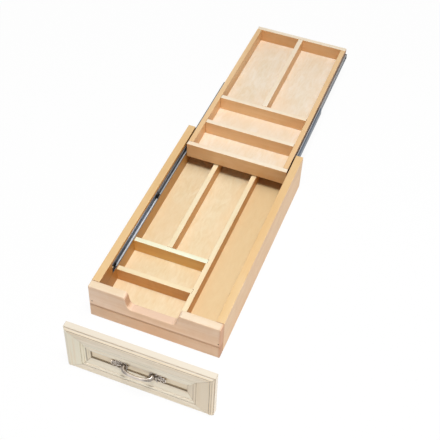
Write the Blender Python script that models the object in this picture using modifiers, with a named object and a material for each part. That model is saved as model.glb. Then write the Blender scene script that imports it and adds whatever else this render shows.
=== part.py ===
"""Two-tier cutlery drawer with a sliding upper tray and a loose panelled front.

Run with: blender --background --python part.py
Lengths are in metres, +Z is up and -Y is the front of the drawer.
The origin is under the middle of the front rail, on the underside of the drawer.
"""
import math

import bmesh
import bpy
from mathutils import Vector

# Drawer box
DRAWER_WIDTH = 0.292
DRAWER_LENGTH = 0.5415
DRAWER_HEIGHT = 0.0953
SIDE_THICKNESS = 0.01775
FRONT_THICKNESS = 0.0183
RAIL_HEIGHT = 0.0345
BACK_THICKNESS = 0.012
BOTTOM_THICKNESS = 0.0057
BOTTOM_HEIGHT = 0.0127
BOTTOM_GROOVE_DEPTH = 0.006

# Scooped finger opening in the front board
SCOOP_DEPTH = 0.034
SCOOP_TOP_WIDTH = 0.127
SCOOP_BOTTOM_WIDTH = 0.090
SCOOP_OFFSET = -0.005

# Dividers of the lower tier
DIVIDER_THICKNESS = 0.012
DIVIDER_HEIGHT = 0.0331
DIVIDER_HOUSING = 0.003
LEFT_COMPARTMENT = 0.07335
RIGHT_COMPARTMENT = 0.07475
FRONT_COMPARTMENT = 0.07705
SECOND_COMPARTMENT = 0.0767

# Upper tray
TRAY_FRONT_CLEARANCE = 0.00325
TRAY_UNDERSIDE = 0.056
TRAY_WALL = 0.0123
TRAY_BOTTOM_THICKNESS = 0.0045
TRAY_REBATE = 0.006
TRAY_FRONT_COMPARTMENT = 0.07845
TRAY_SECOND_COMPARTMENT = 0.089
TRAY_LONG_OFFSET = -0.0004

# Ball-bearing slides, three members a side
RUNNER_GROOVE_DEPTH = 0.0063
SLIDE_SPACE = 0.00965
SLIDE_HEIGHT = 0.027
SLIDE_CENTRE_HEIGHT = 0.0733
SLIDE_FRONT_INSET = 0.07695
SLIDE_REAR_INSET = 0.00755
SLIDE_TRAVEL_SHORTFALL = 0.002
MIDDLE_FRONT_INSET = 0.0106
MIDDLE_REAR_INSET = 0.0164
OUTER_SHEET = 0.001
MIDDLE_SHEET = 0.0009
CAGE_OUTER_SHEET = 0.0005
CAGE_INNER_SHEET = 0.0004
CAGE_LENGTH = 0.15
CAGE_END_MARGIN = 0.009
BALL_DIAMETER = 0.0027
BUMPER_BLOCK = 0.0036
BUMPER_LENGTH = 0.0235
CLIP_LENGTH = 0.0035
END_CAP_LENGTH = 0.0035
PLASTIC_GAP = 0.0006

# Loose front
FRONT_OVERLAP = 0.0115
FRONT_HEIGHT = 0.127
FRONT_BOARD_THICKNESS = 0.019
FRONT_FACE_PLACE = -0.14215
FRONT_SIDE_OFFSET = 0.0255
STILE_WIDTH = 0.0356
FRONT_RAIL_WIDTH = 0.0243
EDGE_MOULD_WIDTH = 0.0085
EDGE_MOULD_DEPTH = 0.0062
STILE_MOULDING_WIDTH = 0.0194
RAIL_MOULDING_WIDTH = 0.0275
PANEL_RECESS = 0.0072
PANEL_THICKNESS = 0.006
PANEL_GROOVE_DEPTH = 0.006

# Handle
HANDLE_LENGTH = 0.116
LEAF_LENGTH = 0.034
LEAF_HEIGHT = 0.0195
LEAF_THICKNESS = 0.0036
LEAF_EDGE = 0.0009
ARCH_SPAN = 0.058
ARCH_REACH = 0.0165
BAR_RADIUS = 0.0033
HANDLE_RISE = 0.0008

# Clearances and edges
FIT_GAP = 0.0003
EDGE_ROUND = 0.0009
FRONT_EDGE_ROUND = 0.0017
SMALL_EDGE = 0.0004
CUT_OVERRUN = 0.002
WELD_DISTANCE = 0.00001

# Sections of the slide members: inward share of the slide space, height share of half the slide
OUTER_SHARES = (
    (0.0829, 0.9037), (0.1088, 0.9444), (0.1606, 0.9630),
    (0.5337, 0.9630), (0.5855, 0.9444), (0.6166, 0.9037), (0.6166, 0.8815),
)
MIDDLE_SHARES = (
    (0.3057, 0.6074), (0.3212, 0.6444), (0.3679, 0.6593),
    (0.5026, 0.6593), (0.5959, 0.7333), (0.6477, 0.7593), (0.7720, 0.7593),
)
INNER_SHARES = (
    (0.9171, 0.4148), (0.9016, 0.4444), (0.8653, 0.4556),
    (0.6373, 0.4556), (0.5751, 0.4741), (0.5440, 0.4963),
)
CAGE_OUTER_SHARES = (
    (0.1969, 0.7630), (0.2124, 0.7963), (0.2539, 0.8074), (0.5440, 0.8074),
)
CAGE_INNER_SHARES = (
    (0.4145, 0.5407), (0.4301, 0.5667), (0.4663, 0.5763), (0.8135, 0.5763),
)
BALL_OUTER_SHARE = (0.4093, 0.8093)
BALL_INNER_SHARE = (0.7098, 0.6093)
BUMPER_DEPTH_SHARES = (0.1713, 0.4715)
BUMPER_HEIGHT_SHARES = (0.7333, 0.8963)
CLIP_DEPTH_SHARES = (0.2591, 0.4610)
CLIP_HEIGHT_SHARE = 0.6
END_CAP_DEPTH_SHARES = (0.5181, 0.9689)
END_CAP_HEIGHT_SHARE = 0.5259

# Profiles of the loose front: share across the moulding, share of its depth
EDGE_MOULD_SHARES = (
    (0.0, 1.0), (0.16, 1.0), (0.18, 0.8), (0.26, 0.58), (0.38, 0.42),
    (0.54, 0.32), (0.68, 0.27), (0.70, 0.12), (0.80, 0.10), (0.92, 0.06), (1.0, 0.0),
)
INNER_MOULD_SHARES = (
    (0.0, 0.14), (0.05, 0.06), (0.13, 0.03), (0.21, 0.06), (0.26, 0.14), (0.27, 0.30),
    (0.34, 0.30), (0.46, 0.33), (0.60, 0.42), (0.74, 0.54), (0.87, 0.63), (1.0, 0.67),
)
SCOOP_CURVE_SHARES = (
    (0.0, 0.0), (0.09, 0.02), (0.19, 0.07), (0.28, 0.16), (0.34, 0.28), (0.38, 0.42),
    (0.42, 0.56), (0.47, 0.69), (0.55, 0.81), (0.67, 0.91), (0.83, 0.98), (1.0, 1.0),
)
LEAF_SHARES = (
    (0.0, 0.26), (0.10, 0.40), (0.24, 0.50), (0.35, 0.46), (0.40, 0.34), (0.50, 0.45),
    (0.62, 0.44), (0.70, 0.28), (0.80, 0.33), (0.92, 0.24), (1.0, 0.0),
)
ARCH_SHARES = (
    (1.0, 0.0), (0.90, 0.16), (0.78, 0.46), (0.62, 0.74), (0.40, 0.93), (0.14, 1.0),
)
BAR_SHARES = (0.8, 0.82, 0.8, 0.85, 0.95, 1.0)

# Counts
BALLS_IN_ROW = 7
EDGE_SEGMENTS = 2
BAR_SEGMENTS = 3

# Heights and places that follow from the values above
HALF_DRAWER = DRAWER_WIDTH / 2
INNER_HALF = HALF_DRAWER - SIDE_THICKNESS
FRONT_FACE = -FRONT_THICKNESS / 2
FRONT_REAR = FRONT_THICKNESS / 2
DRAWER_REAR = FRONT_FACE + DRAWER_LENGTH
BACK_FACE = DRAWER_REAR - BACK_THICKNESS
FLOOR_TOP = BOTTOM_HEIGHT + BOTTOM_THICKNESS
DIVIDER_FOOT = FLOOR_TOP + FIT_GAP
DIVIDER_TOP = DIVIDER_FOOT + DIVIDER_HEIGHT
BACK_TOP = TRAY_UNDERSIDE - 6 * FIT_GAP
GROOVE_FLOOR = INNER_HALF + RUNNER_GROOVE_DEPTH
HALF_SLIDE = SLIDE_HEIGHT / 2
TRAY_HALF = GROOVE_FLOOR - SLIDE_SPACE
TRAY_LENGTH = DRAWER_LENGTH - FRONT_THICKNESS - TRAY_FRONT_CLEARANCE
SLIDE_LENGTH = DRAWER_LENGTH - SLIDE_FRONT_INSET - SLIDE_REAR_INSET
TRAY_TRAVEL = SLIDE_LENGTH - SLIDE_TRAVEL_SHORTFALL
OUTER_START = FRONT_FACE + SLIDE_FRONT_INSET
OUTER_END = OUTER_START + SLIDE_LENGTH
MIDDLE_LENGTH = SLIDE_LENGTH - MIDDLE_FRONT_INSET - MIDDLE_REAR_INSET
MIDDLE_START_AT_REST = OUTER_START + MIDDLE_FRONT_INSET + TRAY_TRAVEL / 2
MIDDLE_END_AT_REST = MIDDLE_START_AT_REST + MIDDLE_LENGTH
INNER_START = OUTER_START + TRAY_TRAVEL
CAGE_OUTER_CENTRE_AT_REST = (MIDDLE_START_AT_REST + OUTER_END) / 2
CAGE_INNER_CENTRE_AT_REST = (INNER_START + MIDDLE_END_AT_REST) / 2
TRAY_FRONT_AT_REST = FRONT_REAR + TRAY_FRONT_CLEARANCE + TRAY_TRAVEL
TRAY_REAR = TRAY_FRONT_AT_REST + TRAY_LENGTH
TRAY_CROSS_FRONT_PLACE = TRAY_WALL + TRAY_FRONT_COMPARTMENT + TRAY_WALL / 2
TRAY_CROSS_REAR_PLACE = TRAY_CROSS_FRONT_PLACE + TRAY_SECOND_COMPARTMENT + TRAY_WALL
LONG_RIGHT_PLACE = INNER_HALF - RIGHT_COMPARTMENT - DIVIDER_THICKNESS / 2
LONG_MIDDLE_PLACE = LEFT_COMPARTMENT + DIVIDER_THICKNESS / 2 - INNER_HALF
CROSS_FRONT_PLACE = FRONT_REAR + FRONT_COMPARTMENT + DIVIDER_THICKNESS / 2
CROSS_REAR_PLACE = CROSS_FRONT_PLACE + SECOND_COMPARTMENT + DIVIDER_THICKNESS
TRAY_FLOOR_TOP = TRAY_UNDERSIDE + TRAY_BOTTOM_THICKNESS
FRONT_WIDTH = DRAWER_WIDTH + FRONT_OVERLAP + FRONT_OVERLAP
PANEL_FACE = FRONT_FACE_PLACE + PANEL_RECESS
PANEL_REAR = PANEL_FACE + PANEL_THICKNESS
FRONT_BOARD_REAR = FRONT_FACE_PLACE + FRONT_BOARD_THICKNESS
HANDLE_HEIGHT = FRONT_HEIGHT / 2 + HANDLE_RISE

LEFT = -1
RIGHT = 1
SIDES = ((LEFT, "left"), (RIGHT, "right"))


def clear_scene():
    """Remove whatever the scene holds."""
    for item in list(bpy.data.objects):
        bpy.data.objects.remove(item)


def make_collection(name):
    """Add a collection to the scene."""
    collection = bpy.data.collections.new(name)
    bpy.context.scene.collection.children.link(collection)
    return collection


def make_material(name, colour, roughness, metallic=0.0):
    """Add a plain Principled material."""
    material = bpy.data.materials.new(name)
    material.use_nodes = True
    shader = material.node_tree.nodes["Principled BSDF"]
    shader.inputs["Base Color"].default_value = (*colour, 1.0)
    shader.inputs["Roughness"].default_value = roughness
    shader.inputs["Metallic"].default_value = metallic
    return material


clear_scene()
PART = make_collection("cutlery_drawer")
CUTTERS = make_collection("cutters")

SIDE_WOOD = make_material("side_wood", (0.74, 0.52, 0.34), 0.5)
FRONT_WOOD = make_material("front_wood", (0.72, 0.53, 0.38), 0.5)
RAIL_WOOD = make_material("rail_wood", (0.62, 0.44, 0.31), 0.5)
DIVIDER_WOOD = make_material("divider_wood", (0.86, 0.68, 0.44), 0.5)
FLOOR_WOOD = make_material("floor_wood", (0.80, 0.60, 0.36), 0.45)
TRAY_WOOD = make_material("tray_wood", (0.88, 0.70, 0.46), 0.5)
TRAY_FLOOR_WOOD = make_material("tray_floor_wood", (0.86, 0.68, 0.46), 0.45)
CREAM_FINISH = make_material("cream_finish", (0.80, 0.71, 0.58), 0.42)
STEEL = make_material("slide_steel", (0.62, 0.62, 0.62), 0.3, 1.0)
CAGE_STEEL = make_material("cage_steel", (0.5, 0.5, 0.48), 0.35, 1.0)
BLACK_PLASTIC = make_material("black_plastic", (0.02, 0.02, 0.02), 0.45)
PEWTER = make_material("pewter", (0.30, 0.26, 0.21), 0.38, 1.0)


def add_object(name, mesh, place, material, parent=None):
    """Link a mesh as a named piece of the part, or as a cutter when it has no material."""
    item = bpy.data.objects.new(name, mesh)
    item.location = place
    if parent is not None:
        item.parent = parent
    if material is None:
        CUTTERS.objects.link(item)
        item.hide_render = True
        item.display_type = "WIRE"
    else:
        PART.objects.link(item)
        mesh.materials.append(material)
    return item


def add_axis(name, place):
    """Add the empty that a sliding piece hangs from."""
    axis = bpy.data.objects.new(name, None)
    axis.location = place
    axis.empty_display_size = SIDE_THICKNESS
    PART.objects.link(axis)
    return axis


def finish_mesh(name, shape):
    """Turn a bmesh into a mesh with its faces outward."""
    bmesh.ops.remove_doubles(shape, verts=shape.verts, dist=WELD_DISTANCE)
    bmesh.ops.recalc_face_normals(shape, faces=shape.faces)
    mesh = bpy.data.meshes.new(name)
    shape.to_mesh(mesh)
    shape.free()
    return mesh


def add_bevel(item, width, segments=EDGE_SEGMENTS):
    """Ease the edges of a piece."""
    bevel = item.modifiers.new("eased_edges", "BEVEL")
    bevel.width = width
    bevel.segments = segments
    bevel.limit_method = "ANGLE"


def add_box(name, low, high, material, edge=EDGE_ROUND, parent=None):
    """Add a block between two corners, with eased edges."""
    low = Vector(low)
    high = Vector(high)
    shape = bmesh.new()
    bmesh.ops.create_cube(shape, size=1.0)
    bmesh.ops.scale(shape, vec=high - low, verts=shape.verts)
    origin = parent.location if parent is not None else Vector()
    item = add_object(name, finish_mesh(name, shape), (low + high) / 2 - origin, material, parent)
    if material is not None and edge:
        add_bevel(item, edge)
    return item


def cut_with(item, cutter, operation="DIFFERENCE"):
    """Cut a piece with a cutter, or join the cutter to it."""
    boolean = item.modifiers.new(cutter.name, "BOOLEAN")
    boolean.object = cutter
    boolean.operation = operation
    boolean.solver = "EXACT"


def cut_box(item, name, low, high):
    """Cut a block between two corners out of a piece."""
    cut_with(item, add_box(name, low, high, None))


def mirrored(side, low_x, high_x):
    """Return the two x values of a block on one side in rising order."""
    return tuple(sorted((side * low_x, side * high_x)))


def prism_mesh(name, outline, low, high, turn):
    """Extrude an outline between two values along the third axis that turn puts it on."""
    shape = bmesh.new()
    verts = [shape.verts.new(turn(first, second, low)) for first, second in outline]
    face = shape.faces.new(verts)
    grown = bmesh.ops.extrude_face_region(shape, geom=[face])
    moved = [item for item in grown["geom"] if isinstance(item, bmesh.types.BMVert)]
    step = Vector(turn(0, 0, high)) - Vector(turn(0, 0, low))
    bmesh.ops.translate(shape, vec=step, verts=moved)
    return finish_mesh(name, shape)


def drawer_sides():
    """Add the two sides with their runner and floor grooves and divider housings."""
    for side, word in SIDES:
        x_low, x_high = mirrored(side, INNER_HALF, HALF_DRAWER)
        item = add_box(
            "drawer_side_" + word,
            (x_low, FRONT_REAR + FIT_GAP, 0),
            (x_high, DRAWER_REAR, DRAWER_HEIGHT),
            SIDE_WOOD,
        )
        x_low, x_high = mirrored(side, INNER_HALF - CUT_OVERRUN, GROOVE_FLOOR)
        cut_box(
            item,
            "runner_groove_" + word,
            (x_low, OUTER_START - PLASTIC_GAP, SLIDE_CENTRE_HEIGHT - HALF_SLIDE - FIT_GAP),
            (x_high, DRAWER_REAR + CUT_OVERRUN, SLIDE_CENTRE_HEIGHT + HALF_SLIDE + FIT_GAP),
        )
        x_low, x_high = mirrored(side, INNER_HALF - CUT_OVERRUN, INNER_HALF + BOTTOM_GROOVE_DEPTH)
        cut_box(
            item,
            "floor_groove_" + word,
            (x_low, FRONT_FACE, BOTTOM_HEIGHT - FIT_GAP),
            (x_high, DRAWER_REAR + CUT_OVERRUN, FLOOR_TOP + FIT_GAP),
        )
        if side == LEFT:
            for place, where in ((CROSS_FRONT_PLACE, "front"), (CROSS_REAR_PLACE, "rear")):
                housing(item, "housing_left_" + where, -INNER_HALF - DIVIDER_HOUSING, -INNER_HALF, place)


def housing(item, name, x_low, x_high, place):
    """Cut the stopped housing that takes the end of a cross divider."""
    inward = CUT_OVERRUN if x_high == -INNER_HALF else 0
    outward = CUT_OVERRUN - inward
    cut_box(
        item,
        name,
        (x_low - outward, place - DIVIDER_THICKNESS / 2 - FIT_GAP, DIVIDER_FOOT - FIT_GAP),
        (x_high + inward, place + DIVIDER_THICKNESS / 2 + FIT_GAP, DIVIDER_TOP + FIT_GAP),
    )


def drawer_front():
    """Add the scooped front board and the rail under it."""
    top_half = SCOOP_TOP_WIDTH / 2
    run = top_half - SCOOP_BOTTOM_WIDTH / 2
    outline = [(-HALF_DRAWER, RAIL_HEIGHT + FIT_GAP)]
    outline.append((HALF_DRAWER, RAIL_HEIGHT + FIT_GAP))
    outline.append((HALF_DRAWER, DRAWER_HEIGHT))
    curve = [
        (top_half - share * run, DRAWER_HEIGHT - drop * SCOOP_DEPTH)
        for share, drop in SCOOP_CURVE_SHARES
    ]
    outline.extend((SCOOP_OFFSET + x, z) for x, z in curve)
    outline.extend((SCOOP_OFFSET - x, z) for x, z in reversed(curve))
    outline.append((-HALF_DRAWER, DRAWER_HEIGHT))
    mesh = prism_mesh(
        "drawer_front_board", outline, FRONT_FACE, FRONT_REAR, lambda x, z, y: (x, y, z)
    )
    board = add_object("drawer_front_board", mesh, (0, 0, 0), FRONT_WOOD)
    add_bevel(board, FRONT_EDGE_ROUND)
    rail = add_box(
        "drawer_front_rail",
        (-HALF_DRAWER, FRONT_FACE, 0),
        (HALF_DRAWER, FRONT_REAR, RAIL_HEIGHT),
        RAIL_WOOD,
        FRONT_EDGE_ROUND,
    )
    cut_box(
        rail,
        "rail_floor_groove",
        (-INNER_HALF - BOTTOM_GROOVE_DEPTH, FRONT_REAR - BOTTOM_GROOVE_DEPTH, BOTTOM_HEIGHT - FIT_GAP),
        (INNER_HALF + BOTTOM_GROOVE_DEPTH, FRONT_REAR + CUT_OVERRUN, FLOOR_TOP + FIT_GAP),
    )


def drawer_floor_and_back():
    """Add the floor panel and the low back it slides under."""
    reach = INNER_HALF + BOTTOM_GROOVE_DEPTH - FIT_GAP
    add_box(
        "drawer_bottom",
        (-reach, FRONT_REAR - BOTTOM_GROOVE_DEPTH + FIT_GAP, BOTTOM_HEIGHT),
        (reach, DRAWER_REAR - FIT_GAP, FLOOR_TOP),
        FLOOR_WOOD,
        SMALL_EDGE,
    )
    add_box(
        "drawer_back",
        (-INNER_HALF + FIT_GAP, BACK_FACE, FLOOR_TOP + FIT_GAP),
        (INNER_HALF - FIT_GAP, DRAWER_REAR, BACK_TOP),
        SIDE_WOOD,
    )


def lower_dividers():
    """Add the four dividers of the lower tier."""
    half = DIVIDER_THICKNESS / 2
    long_right = add_box(
        "divider_long_right",
        (LONG_RIGHT_PLACE - half, FRONT_REAR + FIT_GAP, DIVIDER_FOOT),
        (LONG_RIGHT_PLACE + half, BACK_FACE - FIT_GAP, DIVIDER_TOP),
        DIVIDER_WOOD,
    )
    right_end = LONG_RIGHT_PLACE - half + DIVIDER_HOUSING
    for place, where in ((CROSS_FRONT_PLACE, "front"), (CROSS_REAR_PLACE, "rear")):
        name = "housing_long_" + where
        housing(long_right, name, LONG_RIGHT_PLACE - half, right_end, place)
        add_box(
            "divider_cross_" + where,
            (-INNER_HALF - DIVIDER_HOUSING + FIT_GAP, place - half, DIVIDER_FOOT),
            (right_end - FIT_GAP, place + half, DIVIDER_TOP),
            DIVIDER_WOOD,
        )
    add_box(
        "divider_long_middle",
        (LONG_MIDDLE_PLACE - half, CROSS_REAR_PLACE + half + FIT_GAP, DIVIDER_FOOT),
        (LONG_MIDDLE_PLACE + half, BACK_FACE - FIT_GAP, DIVIDER_TOP),
        DIVIDER_WOOD,
    )


def tray(axis):
    """Add the upper tray: sides, ends, floor and dividers."""
    wall = TRAY_WALL
    inner = TRAY_HALF - wall
    front = TRAY_FRONT_AT_REST
    for side, word in SIDES:
        x_low, x_high = mirrored(side, inner, TRAY_HALF)
        item = add_box(
            "tray_side_" + word,
            (x_low, front + wall + FIT_GAP, TRAY_UNDERSIDE),
            (x_high, TRAY_REAR - wall - FIT_GAP, DRAWER_HEIGHT),
            TRAY_WOOD,
            parent=axis,
        )
        x_low, x_high = mirrored(side, inner - CUT_OVERRUN, inner + TRAY_REBATE)
        cut_box(
            item,
            "tray_rebate_" + word,
            (x_low, front - CUT_OVERRUN, TRAY_UNDERSIDE - CUT_OVERRUN),
            (x_high, TRAY_REAR + CUT_OVERRUN, TRAY_FLOOR_TOP + FIT_GAP),
        )
    rebate = inner + TRAY_REBATE
    front_rebate = front + wall - TRAY_REBATE
    rear_rebate = TRAY_REAR - wall + TRAY_REBATE
    ends = (
        ("tray_front", front, front_rebate, front + wall + CUT_OVERRUN),
        ("tray_back", TRAY_REAR - wall, TRAY_REAR - wall - CUT_OVERRUN, rear_rebate),
    )
    for name, place, cut_from, cut_to in ends:
        item = add_box(
            name,
            (-TRAY_HALF, place, TRAY_UNDERSIDE),
            (TRAY_HALF, place + wall, DRAWER_HEIGHT),
            TRAY_WOOD,
            parent=axis,
        )
        cut_box(
            item,
            name + "_rebate",
            (-rebate, cut_from, TRAY_UNDERSIDE - CUT_OVERRUN),
            (rebate, cut_to, TRAY_FLOOR_TOP + FIT_GAP),
        )
    reach = rebate - FIT_GAP
    add_box(
        "tray_bottom",
        (-reach, front_rebate + FIT_GAP, TRAY_UNDERSIDE),
        (reach, rear_rebate - FIT_GAP, TRAY_FLOOR_TOP),
        TRAY_FLOOR_WOOD,
        SMALL_EDGE,
        parent=axis,
    )
    places = (("front", TRAY_CROSS_FRONT_PLACE), ("rear", TRAY_CROSS_REAR_PLACE))
    for where, place in places:
        add_box(
            "tray_divider_cross_" + where,
            (-inner + FIT_GAP, front + place - wall / 2, TRAY_FLOOR_TOP + FIT_GAP),
            (inner - FIT_GAP, front + place + wall / 2, DRAWER_HEIGHT),
            TRAY_WOOD,
            parent=axis,
        )
    add_box(
        "tray_divider_long",
        (
            TRAY_LONG_OFFSET - wall / 2,
            front + TRAY_CROSS_REAR_PLACE + wall / 2 + FIT_GAP,
            TRAY_FLOOR_TOP + FIT_GAP,
        ),
        (TRAY_LONG_OFFSET + wall / 2, TRAY_REAR - wall - FIT_GAP, DRAWER_HEIGHT),
        TRAY_WOOD,
        parent=axis,
    )


def channel(name, shares, side, start, length, sheet, material, parent=None):
    """Roll a sheet section along the slide, open towards one side."""
    upper = [(side * -in_share * SLIDE_SPACE, up_share * HALF_SLIDE) for in_share, up_share in shares]
    path = [(x, z) for x, z in reversed(upper)]
    path.extend((x, -z) for x, z in upper)
    shape = bmesh.new()
    rows = []
    for y in (-length / 2, length / 2):
        rows.append([shape.verts.new((x, y, z)) for x, z in path])
    for first in range(len(path) - 1):
        second = first + 1
        shape.faces.new((rows[0][first], rows[0][second], rows[1][second], rows[1][first]))
    mesh = bpy.data.meshes.new(name)
    shape.to_mesh(mesh)
    shape.free()
    place = Vector((side * GROOVE_FLOOR, start + length / 2, SLIDE_CENTRE_HEIGHT))
    if parent is not None:
        place = place - parent.location
    item = add_object(name, mesh, place, material, parent)
    solid = item.modifiers.new("sheet", "SOLIDIFY")
    solid.thickness = sheet
    solid.offset = 0
    solid.use_even_offset = True
    return item


def ball_cage(name, shares, ball_share, side, centre, sheet, parent):
    """Add a cage strip with its rows of balls, joined to one body."""
    start = centre - CAGE_LENGTH / 2
    cage = channel(name, shares, side, start, CAGE_LENGTH, sheet, CAGE_STEEL, parent)
    in_share, up_share = ball_share
    first = -CAGE_LENGTH / 2 + CAGE_END_MARGIN
    pitch = (CAGE_LENGTH - CAGE_END_MARGIN - CAGE_END_MARGIN) / (BALLS_IN_ROW - 1)
    shape = bmesh.new()
    for number in range(BALLS_IN_ROW):
        for level in (up_share * HALF_SLIDE, -up_share * HALF_SLIDE):
            made = bmesh.ops.create_icosphere(shape, subdivisions=1, radius=BALL_DIAMETER / 2)
            spot = Vector((side * -in_share * SLIDE_SPACE, first + number * pitch, level))
            bmesh.ops.translate(shape, vec=spot, verts=made["verts"])
    mesh = bpy.data.meshes.new(name + "_balls")
    shape.to_mesh(mesh)
    shape.free()
    place = Vector((side * GROOVE_FLOOR, centre, SLIDE_CENTRE_HEIGHT))
    balls = add_object(name + "_balls", mesh, place, None)
    cut_with(cage, balls, "UNION")


def slide_block(name, side, depth_shares, height_share, start, length, material, parent=None):
    """Add a small block inside a slide, sized as shares of the slide."""
    outer = GROOVE_FLOOR - depth_shares[0] * SLIDE_SPACE
    inner = GROOVE_FLOOR - depth_shares[1] * SLIDE_SPACE
    x_low, x_high = mirrored(side, inner, outer)
    rise = height_share * HALF_SLIDE
    add_box(
        name,
        (x_low, start, SLIDE_CENTRE_HEIGHT - rise),
        (x_high, start + length, SLIDE_CENTRE_HEIGHT + rise),
        material,
        SMALL_EDGE,
        parent,
    )


def bumper(side, word):
    """Add the plastic stop in the front end of the outer member, with its two race fingers."""
    inner_rise = BUMPER_HEIGHT_SHARES[0] * HALF_SLIDE
    outer_rise = BUMPER_HEIGHT_SHARES[1] * HALF_SLIDE
    start = OUTER_START + PLASTIC_GAP
    block_end = start + BUMPER_BLOCK
    finger_end = start + BUMPER_LENGTH
    outline = [
        (start, -outer_rise), (finger_end, -outer_rise), (finger_end, -inner_rise),
        (block_end, -inner_rise), (block_end, inner_rise), (finger_end, inner_rise),
        (finger_end, outer_rise), (start, outer_rise),
    ]
    depths = [share * SLIDE_SPACE for share in BUMPER_DEPTH_SHARES]
    mesh = prism_mesh(
        "slide_bumper_" + word, outline, -side * depths[0], -side * depths[1], lambda y, z, x: (x, y, z)
    )
    place = (side * GROOVE_FLOOR, 0, SLIDE_CENTRE_HEIGHT)
    item = add_object("slide_bumper_" + word, mesh, place, BLACK_PLASTIC)
    add_bevel(item, SMALL_EDGE, 1)


def slides(tray_axis):
    """Add both ball-bearing slides with their cages and plastic ends."""
    cap_start = INNER_START + SLIDE_LENGTH + FIT_GAP
    for side, word in SIDES:
        channel("slide_outer_" + word, OUTER_SHARES, side, OUTER_START, SLIDE_LENGTH, OUTER_SHEET, STEEL)
        bumper(side, word)
        spot = (side * GROOVE_FLOOR, MIDDLE_START_AT_REST, SLIDE_CENTRE_HEIGHT)
        middle = add_axis("slide_middle_axis_" + word, spot)
        channel(
            "slide_middle_" + word, MIDDLE_SHARES, side, MIDDLE_START_AT_REST,
            MIDDLE_LENGTH, MIDDLE_SHEET, STEEL, middle,
        )
        slide_block(
            "slide_clip_" + word, side, CLIP_DEPTH_SHARES, CLIP_HEIGHT_SHARE,
            MIDDLE_START_AT_REST - FIT_GAP - CLIP_LENGTH, CLIP_LENGTH, BLACK_PLASTIC, middle,
        )
        channel(
            "slide_inner_" + word, INNER_SHARES, side, INNER_START,
            SLIDE_LENGTH, OUTER_SHEET, STEEL, tray_axis,
        )
        slide_block(
            "slide_end_cap_" + word, side, END_CAP_DEPTH_SHARES, END_CAP_HEIGHT_SHARE,
            cap_start, END_CAP_LENGTH, BLACK_PLASTIC, tray_axis,
        )
        spot = (side * GROOVE_FLOOR, CAGE_OUTER_CENTRE_AT_REST, SLIDE_CENTRE_HEIGHT)
        outer_axis = add_axis("ball_cage_outer_axis_" + word, spot)
        ball_cage(
            "ball_cage_outer_" + word, CAGE_OUTER_SHARES, BALL_OUTER_SHARE, side,
            CAGE_OUTER_CENTRE_AT_REST, CAGE_OUTER_SHEET, outer_axis,
        )
        spot = (side * GROOVE_FLOOR, CAGE_INNER_CENTRE_AT_REST, SLIDE_CENTRE_HEIGHT)
        inner_axis = add_axis("ball_cage_inner_axis_" + word, spot)
        ball_cage(
            "ball_cage_inner_" + word, CAGE_INNER_SHARES, BALL_INNER_SHARE, side,
            CAGE_INNER_CENTRE_AT_REST, CAGE_INNER_SHEET, inner_axis,
        )


def frame_member(name, section, own, other, own_ratio, upright, flip, axis, material):
    """Run a section between two mitred ends along one edge of the loose front.

    Section points are (in from the edge, back from the face). Own and other are the half sizes
    of the front across and along the member, and own_ratio is how far the mitre runs along the
    member for each length it runs in.
    """
    shape = bmesh.new()
    loops = []
    for end in (-1, 1):
        loop = []
        for inset, depth in section:
            across = flip * (own - inset)
            along = end * (other - own_ratio(inset))
            x, z = (across, along) if upright else (along, across)
            loop.append(shape.verts.new((x, FRONT_FACE_PLACE + depth - axis.location.y, z)))
        loops.append(loop)
    shape.faces.new(loops[0])
    shape.faces.new(loops[1])
    for first in range(len(section)):
        second = (first + 1) % len(section)
        shape.faces.new((loops[0][first], loops[0][second], loops[1][second], loops[1][first]))
    place = (0, 0, FRONT_HEIGHT / 2 - axis.location.z)
    return add_object(name, finish_mesh(name, shape), place, material, axis)


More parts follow.
